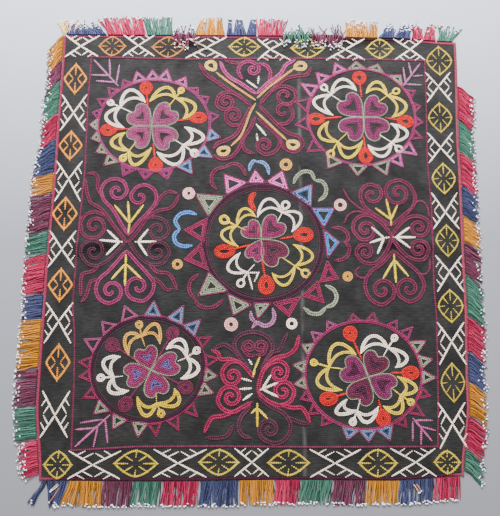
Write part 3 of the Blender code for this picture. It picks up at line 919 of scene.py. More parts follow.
def add(tree, kind, inputs=(), output=0, stops=(), **settings):
    """Adds a node and gives one of its outputs. Each input is set to a value or linked to another
    node's output. Stops are those of a colour ramp, each its place from 0 to 1 and its hex."""
    node = tree.nodes.new(kind)
    for name, value in settings.items():
        setattr(node, name, value)
    for key, value in dict(inputs).items():
        if isinstance(value, bpy.types.NodeSocket):
            tree.links.new(value, node.inputs[key])
        else:
            node.inputs[key].default_value = value
    if stops:
        elements = node.color_ramp.elements
        while len(elements) < len(stops):
            elements.new(0.5)
        for element, (at, colour) in zip(elements, stops):
            element.position, element.color = at, linear(colour)
    return node.outputs[output] if node.outputs else None


def new_tree(name, *inputs):
    """A Geometry Nodes tree with named inputs: the tree, those inputs, and its lines as curves."""
    tree = bpy.data.node_groups.new(name, "GeometryNodeTree")
    for label, kind in (("Lines", "Geometry"), *inputs):
        tree.interface.new_socket(label, in_out="INPUT", socket_type="NodeSocket" + kind)
    tree.interface.new_socket("Result", in_out="OUTPUT", socket_type="NodeSocketGeometry")
    given = tree.nodes.new("NodeGroupInput").outputs
    return tree, given, add(tree, "GeometryNodeMeshToCurve", {"Mesh": given["Lines"]})


def set_along(tree, points, item, axes, scale, **more):
    """An object set on points of a line, its first axis along the line and its second upright."""
    way = add(tree, "GeometryNodeInputTangent")
    turned = add(
        tree, "FunctionNodeAxesToRotation", {"Primary Axis": way, "Secondary Axis": (0, 0, 1)},
        primary_axis=axes[0], secondary_axis=axes[1],
    )
    model = add(
        tree, "GeometryNodeObjectInfo", {"Object": item}, "Geometry", transform_space="ORIGINAL"
    )
    return add(
        tree, "GeometryNodeInstanceOnPoints",
        {"Points": points, "Instance": model, "Rotation": turned, "Scale": scale, **more},
    )


def end_tree(tree, geometry, material):
    """The last nodes of each tree: real faces, a material and the output."""
    real = add(tree, "GeometryNodeRealizeInstances", {"Geometry": geometry})
    painted = add(tree, "GeometryNodeSetMaterial", {"Geometry": real, "Material": material})
    add(tree, "NodeGroupOutput", {"Result": painted})
    return tree


def stitch_tree(name):
    """Sets one stitch after another along each line, turned along it and a little uneven."""
    tree, given, curve = new_tree(
        name, ("Stitch", "Object"), ("Stitch Length", "Float"), ("Stitch Height", "Float"),
        ("Seed", "Int"), ("Silk", "Material"),
    )
    pitch, seed = given["Stitch Length"], given["Seed"]
    points = add(tree, "GeometryNodeResampleCurve", {"Curve": curve, "Length": pitch}, mode="LENGTH")
    wide = add(tree, "GeometryNodeInputNamedAttribute", {"Name": "wide"}, data_type="FLOAT")
    sizes = {}
    for axis, size, least, most in (
        (0, pitch, 1.0, 1.15), (1, wide, 0.92, 1.1), (2, given["Stitch Height"], 0.8, 1.1)
    ):
        factor = add(
            tree, "FunctionNodeRandomValue", {2: least, 3: most, "Seed": seed}, 1, data_type="FLOAT"
        )
        sizes[axis] = add(tree, "ShaderNodeMath", {0: size, 1: factor}, operation="MULTIPLY")
    scale = add(tree, "ShaderNodeCombineXYZ", sizes)
    placed = set_along(tree, points, given["Stitch"], "XZ", scale)
    chance = add(tree, "FunctionNodeRandomValue", {2: 0.0, 3: 1.0, "Seed": seed}, 1, data_type="FLOAT")
    each = add(
        tree, "GeometryNodeStoreNamedAttribute",
        {"Geometry": placed, "Name": "stitch", "Value": chance}, data_type="FLOAT", domain="INSTANCE",
    )
    return end_tree(tree, each, given["Silk"])


def thread_tree(name):
    """Gives each line a round thread."""
    tree, given, curve = new_tree(name, ("Radius", "Float"), ("Sides", "Int"), ("Thread", "Material"))
    ring = add(
        tree, "GeometryNodeCurvePrimitiveCircle",
        {"Resolution": given["Sides"], "Radius": given["Radius"]},
    )
    tube = add(
        tree, "GeometryNodeCurveToMesh", {"Curve": curve, "Profile Curve": ring, "Fill Caps": True}
    )
    return end_tree(tree, tube, given["Thread"])


def bead_tree(name):
    """Sets a bead on the tip of each line, with its hole along the line."""
    tree, given, curve = new_tree(name, ("Bead", "Object"), ("Seed", "Int"), ("Glass", "Material"))
    tip = add(tree, "GeometryNodeInputNamedAttribute", {"Name": "tip"}, data_type="FLOAT")
    is_tip = add(tree, "FunctionNodeCompare", {0: tip, 1: 0.5}, operation="GREATER_THAN")
    scale = add(
        tree, "FunctionNodeRandomValue", {2: 0.85, 3: 1.1, "Seed": given["Seed"]}, 1, data_type="FLOAT"
    )
    placed = set_along(tree, curve, given["Bead"], "ZX", scale, Selection=is_tip)
    return end_tree(tree, placed, given["Glass"])


# Meshes


def once(kept, name, make, *given):
    """What is kept under that name, made if it isn't there yet."""
    return kept.get(name) or make(name, *given)


def linked(name, data):
    """A new object in the scene."""
    made = bpy.data.objects.new(name, data)
    bpy.context.scene.collection.objects.link(made)
    return made


def modified(holder):
    """The plain mesh that an object's modifier makes. The object, which only held it, is removed."""
    depsgraph = bpy.context.evaluated_depsgraph_get()
    mesh = bpy.data.meshes.new_from_object(holder.evaluated_get(depsgraph), depsgraph=depsgraph)
    bpy.data.objects.remove(holder)
    if not mesh.polygons:
        raise RuntimeError(f"{mesh.name}: the modifier made no faces")
    return mesh


def grown(tree, source, **values):
    """The plain mesh that a tree makes from a source mesh, with its named inputs set."""
    holder = linked(tree.name, source)
    modifier = holder.modifiers.new(tree.name, "NODES")
    modifier.node_group = tree
    for item in tree.interface.items_tree:
        key = item.name.replace(" ", "_").lower()
        if item.in_out == "INPUT" and key in values:
            modifier[item.identifier] = values[key]
    return modified(holder)


def mesh_from(bm, name):
    """The finished mesh of a bmesh, which is then freed."""
    mesh = bpy.data.meshes.new(name)
    bm.to_mesh(mesh)
    bm.free()
    return mesh


def on_cover(x, y, z):
    """A point on the cover in mm, as a place in the part's frame in metres."""
    return (Vector((x, y, z)) + MIDDLE) * MM


def line_mesh(name, lines):
    """A mesh of bare edges, one chain for each line of (points, closed, wide, shade), in mm.

    An open line is narrower at its ends."""
    mesh = bpy.data.meshes.new(name)
    places, edges, wide, shade, tip = [], [], [], [], []
    for points, closed, width, tone in lines:
        first, count = len(places), len(points)
        places += [on_cover(*point) for point in points]
        edges += [(first + k, first + k + 1) for k in range(count - 1)]
        if closed:
            edges.append((first + count - 1, first))
        for k in range(count):
            end = 1.0 if closed else min(1.0, 0.55 + min(k, count - 1 - k) / 9)
            wide.append(width * MM * end)
        shade += [tone] * count
        tip += [0.0] * (count - 1) + [1.0]
    mesh.from_pydata(places, edges, [])
    for label, values in (("wide", wide), ("shade", shade), ("tip", tip)):
        mesh.attributes.new(label, "FLOAT", "POINT").data.foreach_set("value", values)
    return mesh


def piece_from(name, meshes):
    """One named piece from several meshes, each with its own material, at the origin."""
    objects = [linked(name, mesh) for mesh in meshes]
    piece = objects[0]
    if len(objects) > 1:
        with bpy.context.temp_override(
            active_object=piece, object=piece, selected_editable_objects=objects,
            selected_objects=objects,
        ):
            bpy.ops.object.join()
    piece.name = piece.data.name = name
    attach(piece, "root")
    return piece


def shade_all_smooth(mesh):
    mesh.polygons.foreach_set("use_smooth", [True] * len(mesh.polygons))


def template(name, corners, faces):
    """A small smooth mesh, as an object."""
    mesh = bpy.data.meshes.new(name)
    mesh.from_pydata(corners, [], faces)
    shade_all_smooth(mesh)
    return linked(name, mesh)


def chain_link(name):
    """One chain stitch, one unit long, wide and high: a petal with a groove down its middle."""
    corners = [(-0.62, 0, 0.3)]
    for x, share in ((-0.2, 0.86), (0.24, 1.0)):
        half = share / 2
        corners += [(x, half, 0), (x, half * 0.8, 0.9), (x, 0, 0.55), (x, -half * 0.8, 0.9), (x, -half, 0)]
    corners.append((0.5, 0, 0.55))
    sides = ((1, 2), (2, 3), (3, 4), (4, 5), (5, 1))
    faces = [(0, b, a) for a, b in sides]
    for a, b in sides:
        faces += [(a, b, b + 5, a + 5), (11, a + 5, b + 5)]
    return template(name, corners, faces)


def slant_stitch(name):
    """One oversewn stitch of the edging, one unit long, wide and high, lying aslant."""
    corners = []
    for y, high in ((-0.5, 0.0), (-0.36, 0.85), (0.0, 1.0), (0.36, 0.85), (0.5, 0.0)):
        x = 1.5 * y
        corners += [(x - 0.42, y, high * 0.75), (x, y, high + 0.1)]
        corners += [(x + 0.42, y, high * 0.75), (x, y, high - 0.35)]
    faces = [(3, 2, 1, 0), (16, 17, 18, 19)]
    for k in range(0, 16, 4):
        faces += [(k + a, k + (a + 1) % 4, k + 4 + (a + 1) % 4, k + 4 + a) for a in range(4)]
    return template(name, corners, faces)


# A bead's section in mm: how far from its middle, and how high.
BEAD_SECTION = ((0.35, 0.6), (0.95, 0.7), (1.25, 0.0), (0.95, -0.7), (0.35, -0.6))


def seed_bead(name, sides=7):
    """A short round glass bead with a hole along Z."""
    corners, faces = [], []
    for ring, (radius, high) in enumerate(BEAD_SECTION):
        below = (ring + 1) % len(BEAD_SECTION) * sides
        for k in range(sides):
            a, on = 2 * math.pi * k / sides, (k + 1) % sides
            corners.append(Vector((radius * math.cos(a), radius * math.sin(a), high)) * MM)
            faces.append((ring * sides + k, below + k, below + on, ring * sides + on))
    return template(name, corners, faces)


# Materials


def principled(name, roughness, shine=0.5):
    """A material, its tree and the place on the object."""
    material = bpy.data.materials.new(name)
    material.use_nodes = True
    shader = material.node_tree.nodes["Principled BSDF"]
    shader.inputs["Roughness"].default_value = roughness
    shader.inputs["Specular IOR Level"].default_value = shine
    return material, material.node_tree, add(material.node_tree, "ShaderNodeTexCoord", (), "Object")


def mottled(tree, colour, strength, value, stops, kind="OVERLAY"):
    """A colour with a ramp of greys laid over it."""
    greys = add(tree, "ShaderNodeValToRGB", {0: value}, stops=stops)
    return add(tree, "ShaderNodeMix", {"Factor": strength, 6: colour, 7: greys}, 2, data_type="RGBA",
               blend_type=kind)


def closeness(tree, place, middle, far, near, most=1.0):
    """A value that rises from 0 to most as the place comes from far to near its middle."""
    off = add(tree, "ShaderNodeMath", {0: place, 1: middle}, operation="SUBTRACT")
    off = add(tree, "ShaderNodeMath", {0: off}, operation="ABSOLUTE")
    return add(tree, "ShaderNodeMapRange", {0: off, 1: far, 2: near, 4: most})


def dressed(material, colour, relief=None, strength=0.0, depth=0.0):
    """The material with its colour and, in metres, the depth of its small relief."""
    tree = material.node_tree
    shader = tree.nodes["Principled BSDF"]
    tree.links.new(colour, shader.inputs["Base Color"])
    if relief:
        bump = add(tree, "ShaderNodeBump", {"Height": relief, "Strength": strength, "Distance": depth})
        tree.links.new(bump, shader.inputs["Normal"])
    return material


# Blender's wave texture repeats every 2 pi / 20 at a scale of one. At this one, warp and weft lie
# 2.2 mm apart, about three times as coarse as real, so that they show.
WEAVE_SCALE = 1 / 0.007


def cloth_material(name):
    """Worn black cotton: a plain weave, streaky threads, painted a little lighter towards the top as
    painted light, and painted shade in its hollows.
    """
    material, tree, place = principled(name, 0.95, 0.1)
    across, high = (add(tree, "ShaderNodeSeparateXYZ", {0: place}, axis) for axis in (0, 1))
    # Painted light: the cloth is painted a little lighter towards the top, the window's side.
    up = add(tree, "ShaderNodeMapRange", {0: high, 1: -0.3, 2: 0.3})
    colour = add(tree, "ShaderNodeValToRGB", {0: up},
                 stops=((0.0, "282727"), (0.55, "282728"), (1.0, "2E2D2E")))
    # Slubs in the weft show as short pale streaks across, about 9 mm long.
    streaky = add(tree, "ShaderNodeMapping", {"Vector": place, "Scale": (110, 520, 1)})
    streaks = add(tree, "ShaderNodeTexNoise", {"Vector": streaky, "Scale": 1.0, "Detail": 4.0})
    colour = mottled(tree, colour, 0.5, streaks, ((0.32, "7A7A72"), (0.68, "D8D8D8")))
    # Wear in patches of all sizes, the largest about 30 mm across.
    worn = add(tree, "ShaderNodeTexNoise", {"Vector": place, "Scale": 36.0, "Detail": 6.0})
    colour = mottled(tree, colour, 0.5, worn, ((0.32, "767072"), (0.68, "DADEDA")))
    # A pale worn crease, 7 mm wide, runs the whole height, fainter in places.
    crease = closeness(tree, across, (CREASE_AT + MIDDLE.x) * MM, 0.0036, 0.0006, 0.15)
    patches = add(tree, "ShaderNodeMapping", {"Vector": place, "Scale": (60, 22, 1)})
    patchy = add(tree, "ShaderNodeTexNoise", {"Vector": patches, "Scale": 1.0, "Detail": 3.0})
    patchy = add(tree, "ShaderNodeMapRange", {0: patchy, 1: 0.42, 2: 0.62})
    crease = add(tree, "ShaderNodeMath", {0: crease, 1: patchy}, operation="MULTIPLY")
    colour = add(tree, "ShaderNodeMix", {"Factor": crease, 6: colour, 7: linear("8A8A86")}, 2,
                 data_type="RGBA")
    # Painted shade darkens the hollows along the middle fold and under the tangled fringe.
    hollow = add(tree, "ShaderNodeAttribute", (), "Fac", attribute_name="hollow")
    colour = add(tree, "ShaderNodeMix", {"Factor": hollow, 6: colour, 7: linear("6A5254")}, 2,
                 data_type="RGBA", blend_type="MULTIPLY")
    warp, weft = (
        add(tree, "ShaderNodeTexWave",
            {"Vector": place, "Scale": WEAVE_SCALE, "Distortion": 0.6, "Detail": 1.0}, "Fac",
            bands_direction=axis)
        for axis in "XY"
    )
    weave = add(tree, "ShaderNodeMath", {0: warp, 1: weft}, operation="ADD")
    return dressed(material, colour, weave, 0.5, 0.0002)


def silk_material(name, hex_colour):
    """Chain-stitch silk: soft sheen, a different tone in each row and stitch, dull in worn patches."""
    material, tree, place = principled(name, 0.6, 0.08)
    row = add(tree, "ShaderNodeAttribute", (), "Fac", attribute_name="shade")
    colour = mottled(tree, linear(hex_colour), 0.3, row, ((0.0, "A0A0A0"), (1.0, "D4D4D4")))
    each = add(tree, "ShaderNodeAttribute", (), "Fac", attribute_name="stitch")
    colour = mottled(tree, colour, 0.3, each, ((0.0, "9A9A9A"), (1.0, "D8D8D8")))
    # Dust and wear dull the silk in patches of about 40 mm.
    worn = add(tree, "ShaderNodeTexNoise", {"Vector": place, "Scale": 26.0, "Detail": 3.0})
    colour = mottled(tree, colour, 0.35, worn, ((0.35, "C8C2BE"), (0.65, "FFFFFF")), "MULTIPLY")
    # Filaments of the floss, drawn 0.4 mm thick so that they show.
    floss = add(tree, "ShaderNodeTexNoise", {"Vector": place, "Scale": 2600.0, "Detail": 1.0})
    return dressed(material, colour, floss, 0.35, 0.0002)


def edging_material(name):
    """Edging silk: dull crimson up the sides, and from dark wine at the foot to rosy at the top."""
    material, tree, place = principled(name, 0.7, 0.15)
    across, high = (add(tree, "ShaderNodeSeparateXYZ", {0: place}, axis) for axis in (0, 1))
    left = add(tree, "ShaderNodeMapRange", {0: across, 1: 0.2, 2: -0.2})
    sides = add(tree, "ShaderNodeValToRGB", {0: left}, stops=((0.0, "9C3F52"), (1.0, "92304C")))
    up = add(tree, "ShaderNodeMapRange", {0: high, 1: -0.2, 2: 0.2})
    ends = add(tree, "ShaderNodeValToRGB", {0: up}, stops=((0.0, "3E162B"), (1.0, "762849")))
    # The square of the place across is the same on both sides.
    outwards = add(tree, "ShaderNodeMath", {0: across, 1: across}, operation="MULTIPLY")
    at_sides = add(tree, "ShaderNodeMapRange", {0: outwards, 1: 0.055, 2: 0.064})
    colour = add(tree, "ShaderNodeMix", {"Factor": at_sides, 6: ends, 7: sides}, 2, data_type="RGBA")
    # Painted shade: it is darker along the right half of the top, under the tangled fringe.
    near = closeness(tree, across, 0.133, 0.1, 0.07)
    at_top = add(tree, "ShaderNodeMapRange", {0: high, 1: 0.26, 2: 0.27})
    fringe_shade = add(tree, "ShaderNodeMath", {0: near, 1: at_top}, operation="MULTIPLY")
    colour = add(tree, "ShaderNodeMix", {"Factor": fringe_shade, 6: colour, 7: linear("6E5258")}, 2,
                 data_type="RGBA", blend_type="MULTIPLY")
    each = add(tree, "ShaderNodeAttribute", (), "Fac", attribute_name="stitch")
    colour = mottled(tree, colour, 0.35, each, ((0.0, "606060"), (1.0, "9A9A9A")))
    floss = add(tree, "ShaderNodeTexNoise", {"Vector": place, "Scale": 2200.0, "Detail": 1.0})
    return dressed(material, colour, floss, 0.4, 0.0002)


def thread_material(name, hex_colour):
    """Twisted fringe thread: each has its own tone, the lower ones painted darker as painted shade of the
    upper, and those along the top painted brighter as painted light.
    """
    material, tree, place = principled(name, 0.75, 0.06)
    # Each thread's tone; the lower threads get darker tones, as painted shade.
    shade = add(tree, "ShaderNodeAttribute", (), "Fac", attribute_name="shade")
    stops = ((0.0, "2C2C2C"), (0.4, "9C9C9C"), (1.0, "F6F6F6"))
    colour = mottled(tree, linear(hex_colour), 0.85, shade, stops)
    # Painted light: the lengths along the top are painted brighter, where the window's light falls on
    # them.
    high = add(tree, "ShaderNodeSeparateXYZ", {0: place}, 1)
    top_light = add(tree, "ShaderNodeMapRange", {0: high, 1: 0.285, 2: 0.31})
    colour = add(tree, "ShaderNodeHueSaturation", {"Value": 1.25, "Fac": top_light, "Color": colour})
    # The ply's twist, drawn as a grain of 0.7 mm.
    ply = add(tree, "ShaderNodeTexNoise", {"Vector": place, "Scale": 1500.0, "Detail": 1.0})
    return dressed(material, colour, ply, 0.6, 0.0004)


def bead_material():
    """White glass seed beads: bright, with small sharp lights."""
    material, tree, _ = principled("white glass seed bead", 0.22)
    inputs = tree.nodes["Principled BSDF"].inputs
    inputs["Base Color"].default_value = linear("FAFAFF")
    inputs["Coat Weight"].default_value = 0.4
    return material


def floor_material():
    """A plain pale painted floor, painted lighter and cooler on the window's side as painted light."""
    material, tree, place = principled("pale painted floor", 0.8)
    high = add(tree, "ShaderNodeSeparateXYZ", {0: place}, 1)
    up = add(tree, "ShaderNodeMapRange", {0: high, 1: -0.36, 2: 0.36})
    # Painted light: darker far from the window, lighter and cooler near it.
    stops = ((0.0, "7C7C81"), (0.5, "86868F"), (1.0, "B5BAC6"))
    return dressed(material, add(tree, "ShaderNodeValToRGB", {0: up}, stops=stops))


# The pieces


def stitched_piece(name, rows, settings):
    """One embroidered piece: the rows sorted by silk, stitched and joined."""
    tree = once(bpy.data.node_groups, "rows of stitches", stitch_tree)
    link = once(bpy.data.objects, "chain link", chain_link)
    chance = random.Random(name)
    meshes = []
    for silk in sorted({row.silk for row in rows}):
        lines = []
        for row in rows:
            if row.silk == silk:
                points = [(p.x, p.y, CLOTH_THICK - SUNK + ridge_height(p.x, p.y)) for p in row.points]
                lines.append((points, row.closed, row.wide, chance.random()))
        meshes.append(grown(
            tree, line_mesh(name + " " + silk, lines), stitch=link, seed=settings.seed,
            stitch_length=settings.stitch_length, stitch_height=STITCH_HIGH * MM,
            silk=once(bpy.data.materials, "silk " + silk, silk_material, SILKS[silk]),
        ))
    piece_from(name, meshes)


def edge_point(side, at, out):
    """A point by an edge: at is the place along it, and out how far outside it the point lies."""
    place = along(EDGES[side], at)
    return Vector((place, at, 0) if side in UPRIGHT else (at, place, 0)) + OUTWARD[side] * out


def build_panel(side, cell):
    """One cloth panel, from the seam to the tape on its three other sides."""
    sign = -1 if side == "left" else 1
    tape = TAPE_WIDE + GAP
    columns, rows = round(HALF_WIDE / cell), round(2 * HALF_HIGH / cell)
    bm = bmesh.new()
    bmesh.ops.create_grid(bm, x_segments=columns, y_segments=rows, size=1)
    for vertex in bm.verts:
        share, row = (1 + sign * vertex.co.x) / 2, HALF_HIGH * vertex.co.y
        y = row
        # Across and up depend on each other, and settle in three rounds.
        for _ in range(3):
            seam = along(SEAM, y) + sign * GAP / 2
            rim = along(EDGES[side], y) - sign * tape
            x = seam + (rim - seam) * share
            low, high = along(EDGES["bottom"], x) + tape, along(EDGES["top"], x) - tape
            y = low + (high - low) * (row + HALF_HIGH) / (2 * HALF_HIGH)
        vertex.co = on_cover(x, y, ridge_height(x, y))
    mesh = mesh_from(bm, "panel")
    # How far each point lies inside a hollow, for the painted shade there.
    depths = []
    for vertex in mesh.vertices:
        x, y, _ = vertex.co / MM - MIDDLE
        inside = (1 - ((x - u) / rx) ** 2 - ((y - v) / ry) ** 2 for u, v, rx, ry in SHADED_HOLLOWS)
        depths.append(max(0.0, *inside))
    mesh.attributes.new("hollow", "FLOAT", "POINT").data.foreach_set("value", depths)
    holder = linked("panel", mesh)
    solidify = holder.modifiers.new("thickness", "SOLIDIFY")
    solidify.thickness = CLOTH_THICK * MM
    solidify.offset = 1.0
    thick = modified(holder)
    thick.materials.append(once(bpy.data.materials, "worn black cotton weave", cloth_material))
    panel = piece_from("cloth_" + side, [thick])
    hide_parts("panel_" + side)


# The section of the edging's core: how far out, and how high.
CORE = ((-0.15, 0.0), (-0.15, 1.3), (-0.9, 1.9), (-2.7, 1.9), (-3.45, 1.3), (-3.45, 0.0))


def build_edging(side, settings):
    """The edging along one side: a flat core, oversewn aslant."""
    trim = 0.0 if side in UPRIGHT else TAPE_WIDE + GAP
    start, end = EDGES[side][0][0] + trim, EDGES[side][-1][0] - trim
    steps = round((end - start) / 4)
    bm = bmesh.new()
    rings = []
    for k in range(steps + 1):
        at = start + (end - start) * k / steps
        places = [(*edge_point(side, at, out).xy, high) for out, high in CORE]
        rings.append([bm.verts.new(on_cover(*place)) for place in places])
    for one, two in zip(rings, rings[1:]):
        for a in range(len(CORE)):
            b = (a + 1) % len(CORE)
            bm.faces.new((one[a], one[b], two[b], two[a]))
    bm.faces.new(rings[0])
    bm.faces.new(rings[-1])
    bmesh.ops.recalc_face_normals(bm, faces=bm.faces)
    core = mesh_from(bm, "edging core")
    material = once(bpy.data.materials, "crimson edging silk", edging_material)
    core.materials.append(material)
    line = []
    for k in range(round(end - start) + 1):
        point = edge_point(side, min(max(start + k, start + 1), end - 1), -TAPE_WIDE / 2)
        line.append((point.x, point.y, 1.25))
    over = grown(
        once(bpy.data.node_groups, "rows of stitches", stitch_tree),
        line_mesh("edging", [(line, False, TAPE_WIDE - 0.2, 0.5)]), seed=settings.seed,
        stitch=once(bpy.data.objects, "slant stitch", slant_stitch),
        stitch_length=settings.edging_pitch, stitch_height=0.9 * MM, silk=material,
    )
    piece = piece_from("edging_silk_" + side, [over, core])
    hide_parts("edging_" + side)


# Where a thread leaves its heading: how far out and how high.
ROOT_OUT = GAP + 0.6
ROOT_HIGH = 0.7


def fringe_lengths(side):
    """The lengths along one side: colour, lowest and highest place on the edge, lean and reach."""
    start, *lengths = FRINGES[side]
    onward = 1 if lengths[0][1] > start else -1
    placed = []
    for colour, end, lean, reach in lengths:
        placed.append((colour, min(start, end), max(start, end), lean, reach))
        start = end + onward * LENGTH_GAP
    return placed


def lean_at(lengths, at):
    """The lean of the threads that lie outwards, combed evenly from one length to the next."""
    rows = sorted(((low + high) / 2, lean) for _, low, high, lean, reach in lengths if reach > 0)
    if at <= rows[0][0]:
        return rows[0][1]
    for (a, low), (b, high) in zip(rows, rows[1:]):
        if at <= b:
            return low + (high - low) * (at - a) / (b - a)
    return rows[-1][1]


def flat_thread(side, at, lean, reach, layer, sway):
    """A thread that lies on the floor: it leaves the heading straight and bends to its lean."""
    out = OUTWARD[side]
    onward = Vector((abs(out.y), abs(out.x), 0))
    root = edge_point(side, at, ROOT_OUT)
    points = []
    for k in range(8):
        share = k / 7
        turned = math.radians(lean) * min(1.0, 0.45 + share)
        way = out * math.cos(turned) + onward * math.sin(turned)
        across = Vector((way.y, -way.x, 0))
        point = root + way * reach * share + across * sway * math.sin(3.1 * share) * share
        high = 1.5 * (1 - share) ** 2 + 0.62 + 0.7 * share**3
        arch = 1.4 * layer * math.sin(math.pi * (0.25 + share * 0.75))
        points.append((point.x, point.y, high + arch))
    return points


def folded_thread(side, at, lean, reach, layer, sway):
    """A thread of the top that turns up and lies back over the tape and the border."""
    over = TAPE_HIGH + GAP + 0.9
    points = []
    for out, high in (
        (ROOT_OUT, ROOT_HIGH), (GAP + 2.4, 1.2), (GAP + 2.9, 2.4), (GAP + 1.6, over + 0.5),
        (-reach * 0.25, over + 0.6), (-reach * 0.6, over), (-reach, over - 0.3),
    ):
        point = edge_point(side, at, out)
        slide = math.tan(math.radians(lean)) * max(0.0, -out) + sway * max(0.0, out)
        lift = 0.8 * layer * (1 if out < 0 else 0.4)
        points.append((point.x + slide, point.y, high + lift))
    return points


def heading_cords(side, low, high):
    """The two cords that a length of fringe hangs from."""
    cords = []
    for out in (GAP + 0.75, GAP + 1.9):
        count = round((high - low) / 4)
        points = []
        for k in range(count + 1):
            point = edge_point(side, low + (high - low) * k / count, out)
            points.append((point.x, point.y, ROOT_HIGH))
        cords.append((points, False, 1.3, 0.3))
    return cords


def fringe_lines(pitch, seed):
    """The fringe's threads, heading cords and nodes by colour, and the threads that end in a bead."""
    chance = random.Random(seed)
    threads, cords, nodes = ({colour: [] for colour in THREADS} for _ in range(3))
    tips = []
    for side in FRINGES:
        lengths = fringe_lengths(side)
        for i, (colour, low, high, _, reach) in enumerate(lengths, 1):
            count = round((high - low) / pitch)
            nodes[colour].append(f"fringe_{side}_{i:02d}")
            cords[colour] += heading_cords(side, low, high)
            for k in range(count):
                at = low + (high - low) * (k + chance.uniform(0.2, 0.8)) / count
                lean = lean_at(lengths, at) + chance.gauss(0, 7.5 if side == "top" else 5.5)
                uneven = 0.12 if side == "bottom" else 0.28
                long = abs(reach) * (1.03 - uneven * chance.random() ** 2) - 1.0
                for tuft, tip in GATHERED.get((side, i), ()):
                    if at >= tuft:
                        lean = math.degrees(math.atan2((tip - at) * 0.75, long)) + chance.gauss(0, 4)
                beaded = BEADED[side]
                if (side, i) in TOUSLED:
                    lean += chance.gauss(0, 9)
                    long *= chance.uniform(0.65, 1.0)
                    beaded = 0.5
                draw = flat_thread
                if reach < 0:
                    # A tangled length: most of its threads lie back over the border.
                    lean = chance.gauss(0, 25)
                    long *= chance.uniform(0.3, 0.95)
                    if chance.random() < 0.6:
                        draw, lean, beaded = folded_thread, chance.gauss(0, 16), 0.8
                # The upper threads lie in strands of 2.5 mm, and those under them are painted darker as
                # painted shade.
                layer = chance.random() ** 1.4
                if layer > 0.4:
                    at += 0.42 * math.sin(2 * math.pi * at / 2.5)
                line = draw(side, at, lean, long, layer, chance.uniform(-1.3, 1.3))
                threads[colour].append((line, False, 1.0, 0.75 * layer + 0.25 * chance.random()))
                if chance.random() < beaded:
                    tips.append(threads[colour][-1])
    return threads, cords, nodes, tips


def stray_lines(roots, count, seed):
    """Loose threads from each root, given as its place and the way they go in degrees."""
    chance = random.Random(seed)
    lines = []
    for k in range(count * len(roots)):
        x, y, heading = roots[k % len(roots)]
        way = towards(heading + chance.uniform(-32, 32))
        long = chance.uniform(12, 24)
        root = Vector((x + chance.uniform(-4, 4), y + chance.uniform(-1, 2)))
        bend = Vector((-way.y, way.x)) * chance.uniform(-5, 5)
        points = []
        for j in range(6):
            share = j / 5
            point = root + way * long * share + bend * share * share
            points.append((point.x, point.y, 1.2 + 2.0 * math.sin(2.6 * share)))
        lines.append((points, False, 0.8, chance.random()))
    return lines


class MirrorCoverSettings(bpy.types.PropertyGroup):
    cell: bpy.props.FloatProperty(
        name="Cloth cell", description="Size of the cloth's mesh cells", default=0.0048,
        subtype="DISTANCE", unit="LENGTH",
    )
    stitch_length: bpy.props.FloatProperty(
        name="Stitch length", description="Length of one chain stitch", default=0.0023,
        subtype="DISTANCE", unit="LENGTH",
    )
    edging_pitch: bpy.props.FloatProperty(
        name="Edging pitch", description="Distance from one oversewn stitch to the next",
        default=0.0014, subtype="DISTANCE", unit="LENGTH",
    )
    thread_pitch: bpy.props.FloatProperty(
        name="Thread pitch", description="Distance from one fringe thread to the next",
        default=0.00066, subtype="DISTANCE", unit="LENGTH",
    )
    thread_radius: bpy.props.FloatProperty(
        name="Thread radius", description="Radius of a fringe thread", default=0.00054,
        subtype="DISTANCE", unit="LENGTH",
    )
    seed: bpy.props.IntProperty(
        name="Seed", description="Sets how uneven stitches and threads fall", default=7
    )


class MIRRORCOVER_OT_cloth(bpy.types.Operator):
    """Build the two cloth panels"""

    bl_idname = "mirrorcover.cloth"
    bl_label = "Cloth panels"

    def execute(self, context):
        for side in UPRIGHT:
            build_panel(side, context.scene.mirror_cover.cell / MM)
        return {"FINISHED"}


class MIRRORCOVER_OT_edging(bpy.types.Operator):
    """Build the oversewn edging along the four sides"""

    bl_idname = "mirrorcover.edging"
    bl_label = "Edging"

    def execute(self, context):
        for side in EDGES:
            build_edging(side, context.scene.mirror_cover)
        return {"FINISHED"}


class MIRRORCOVER_OT_border(bpy.types.Operator):
    """Stitch the border's crosses and lozenges, the field's frame line and the seam"""

    bl_idname = "mirrorcover.border"
    bl_label = "Border embroidery"

    def execute(self, context):
        for side in EDGES:
            stitched_piece("border_" + side, border_rows(side), context.scene.mirror_cover)
        stitched_piece("frame_line_and_seam", frame_rows(), context.scene.mirror_cover)
        return {"FINISHED"}


class MIRRORCOVER_OT_medallions(bpy.types.Operator):
    """Stitch the five medallions, and the triangles, spots and bows round the middle one"""

    bl_idname = "mirrorcover.medallions"
    bl_label = "Medallions"

    def execute(self, context):
        for name in MEDALLIONS:
            rows = medallion_rows(name) + (star_rows() if name == "centre" else [])
            stitched_piece("medallion_" + name, rows, context.scene.mirror_cover)
        return {"FINISHED"}


class MIRRORCOVER_OT_horns(bpy.types.Operator):
    """Stitch the four horned crosses and the corner sprigs"""

    bl_idname = "mirrorcover.horns"
    bl_label = "Horned crosses"

    def execute(self, context):
        for name in HORNS:
            stitched_piece("horned_cross_" + name, horn_rows(name), context.scene.mirror_cover)
        stitched_piece("corner_sprigs", sprig_rows(), context.scene.mirror_cover)
        return {"FINISHED"}


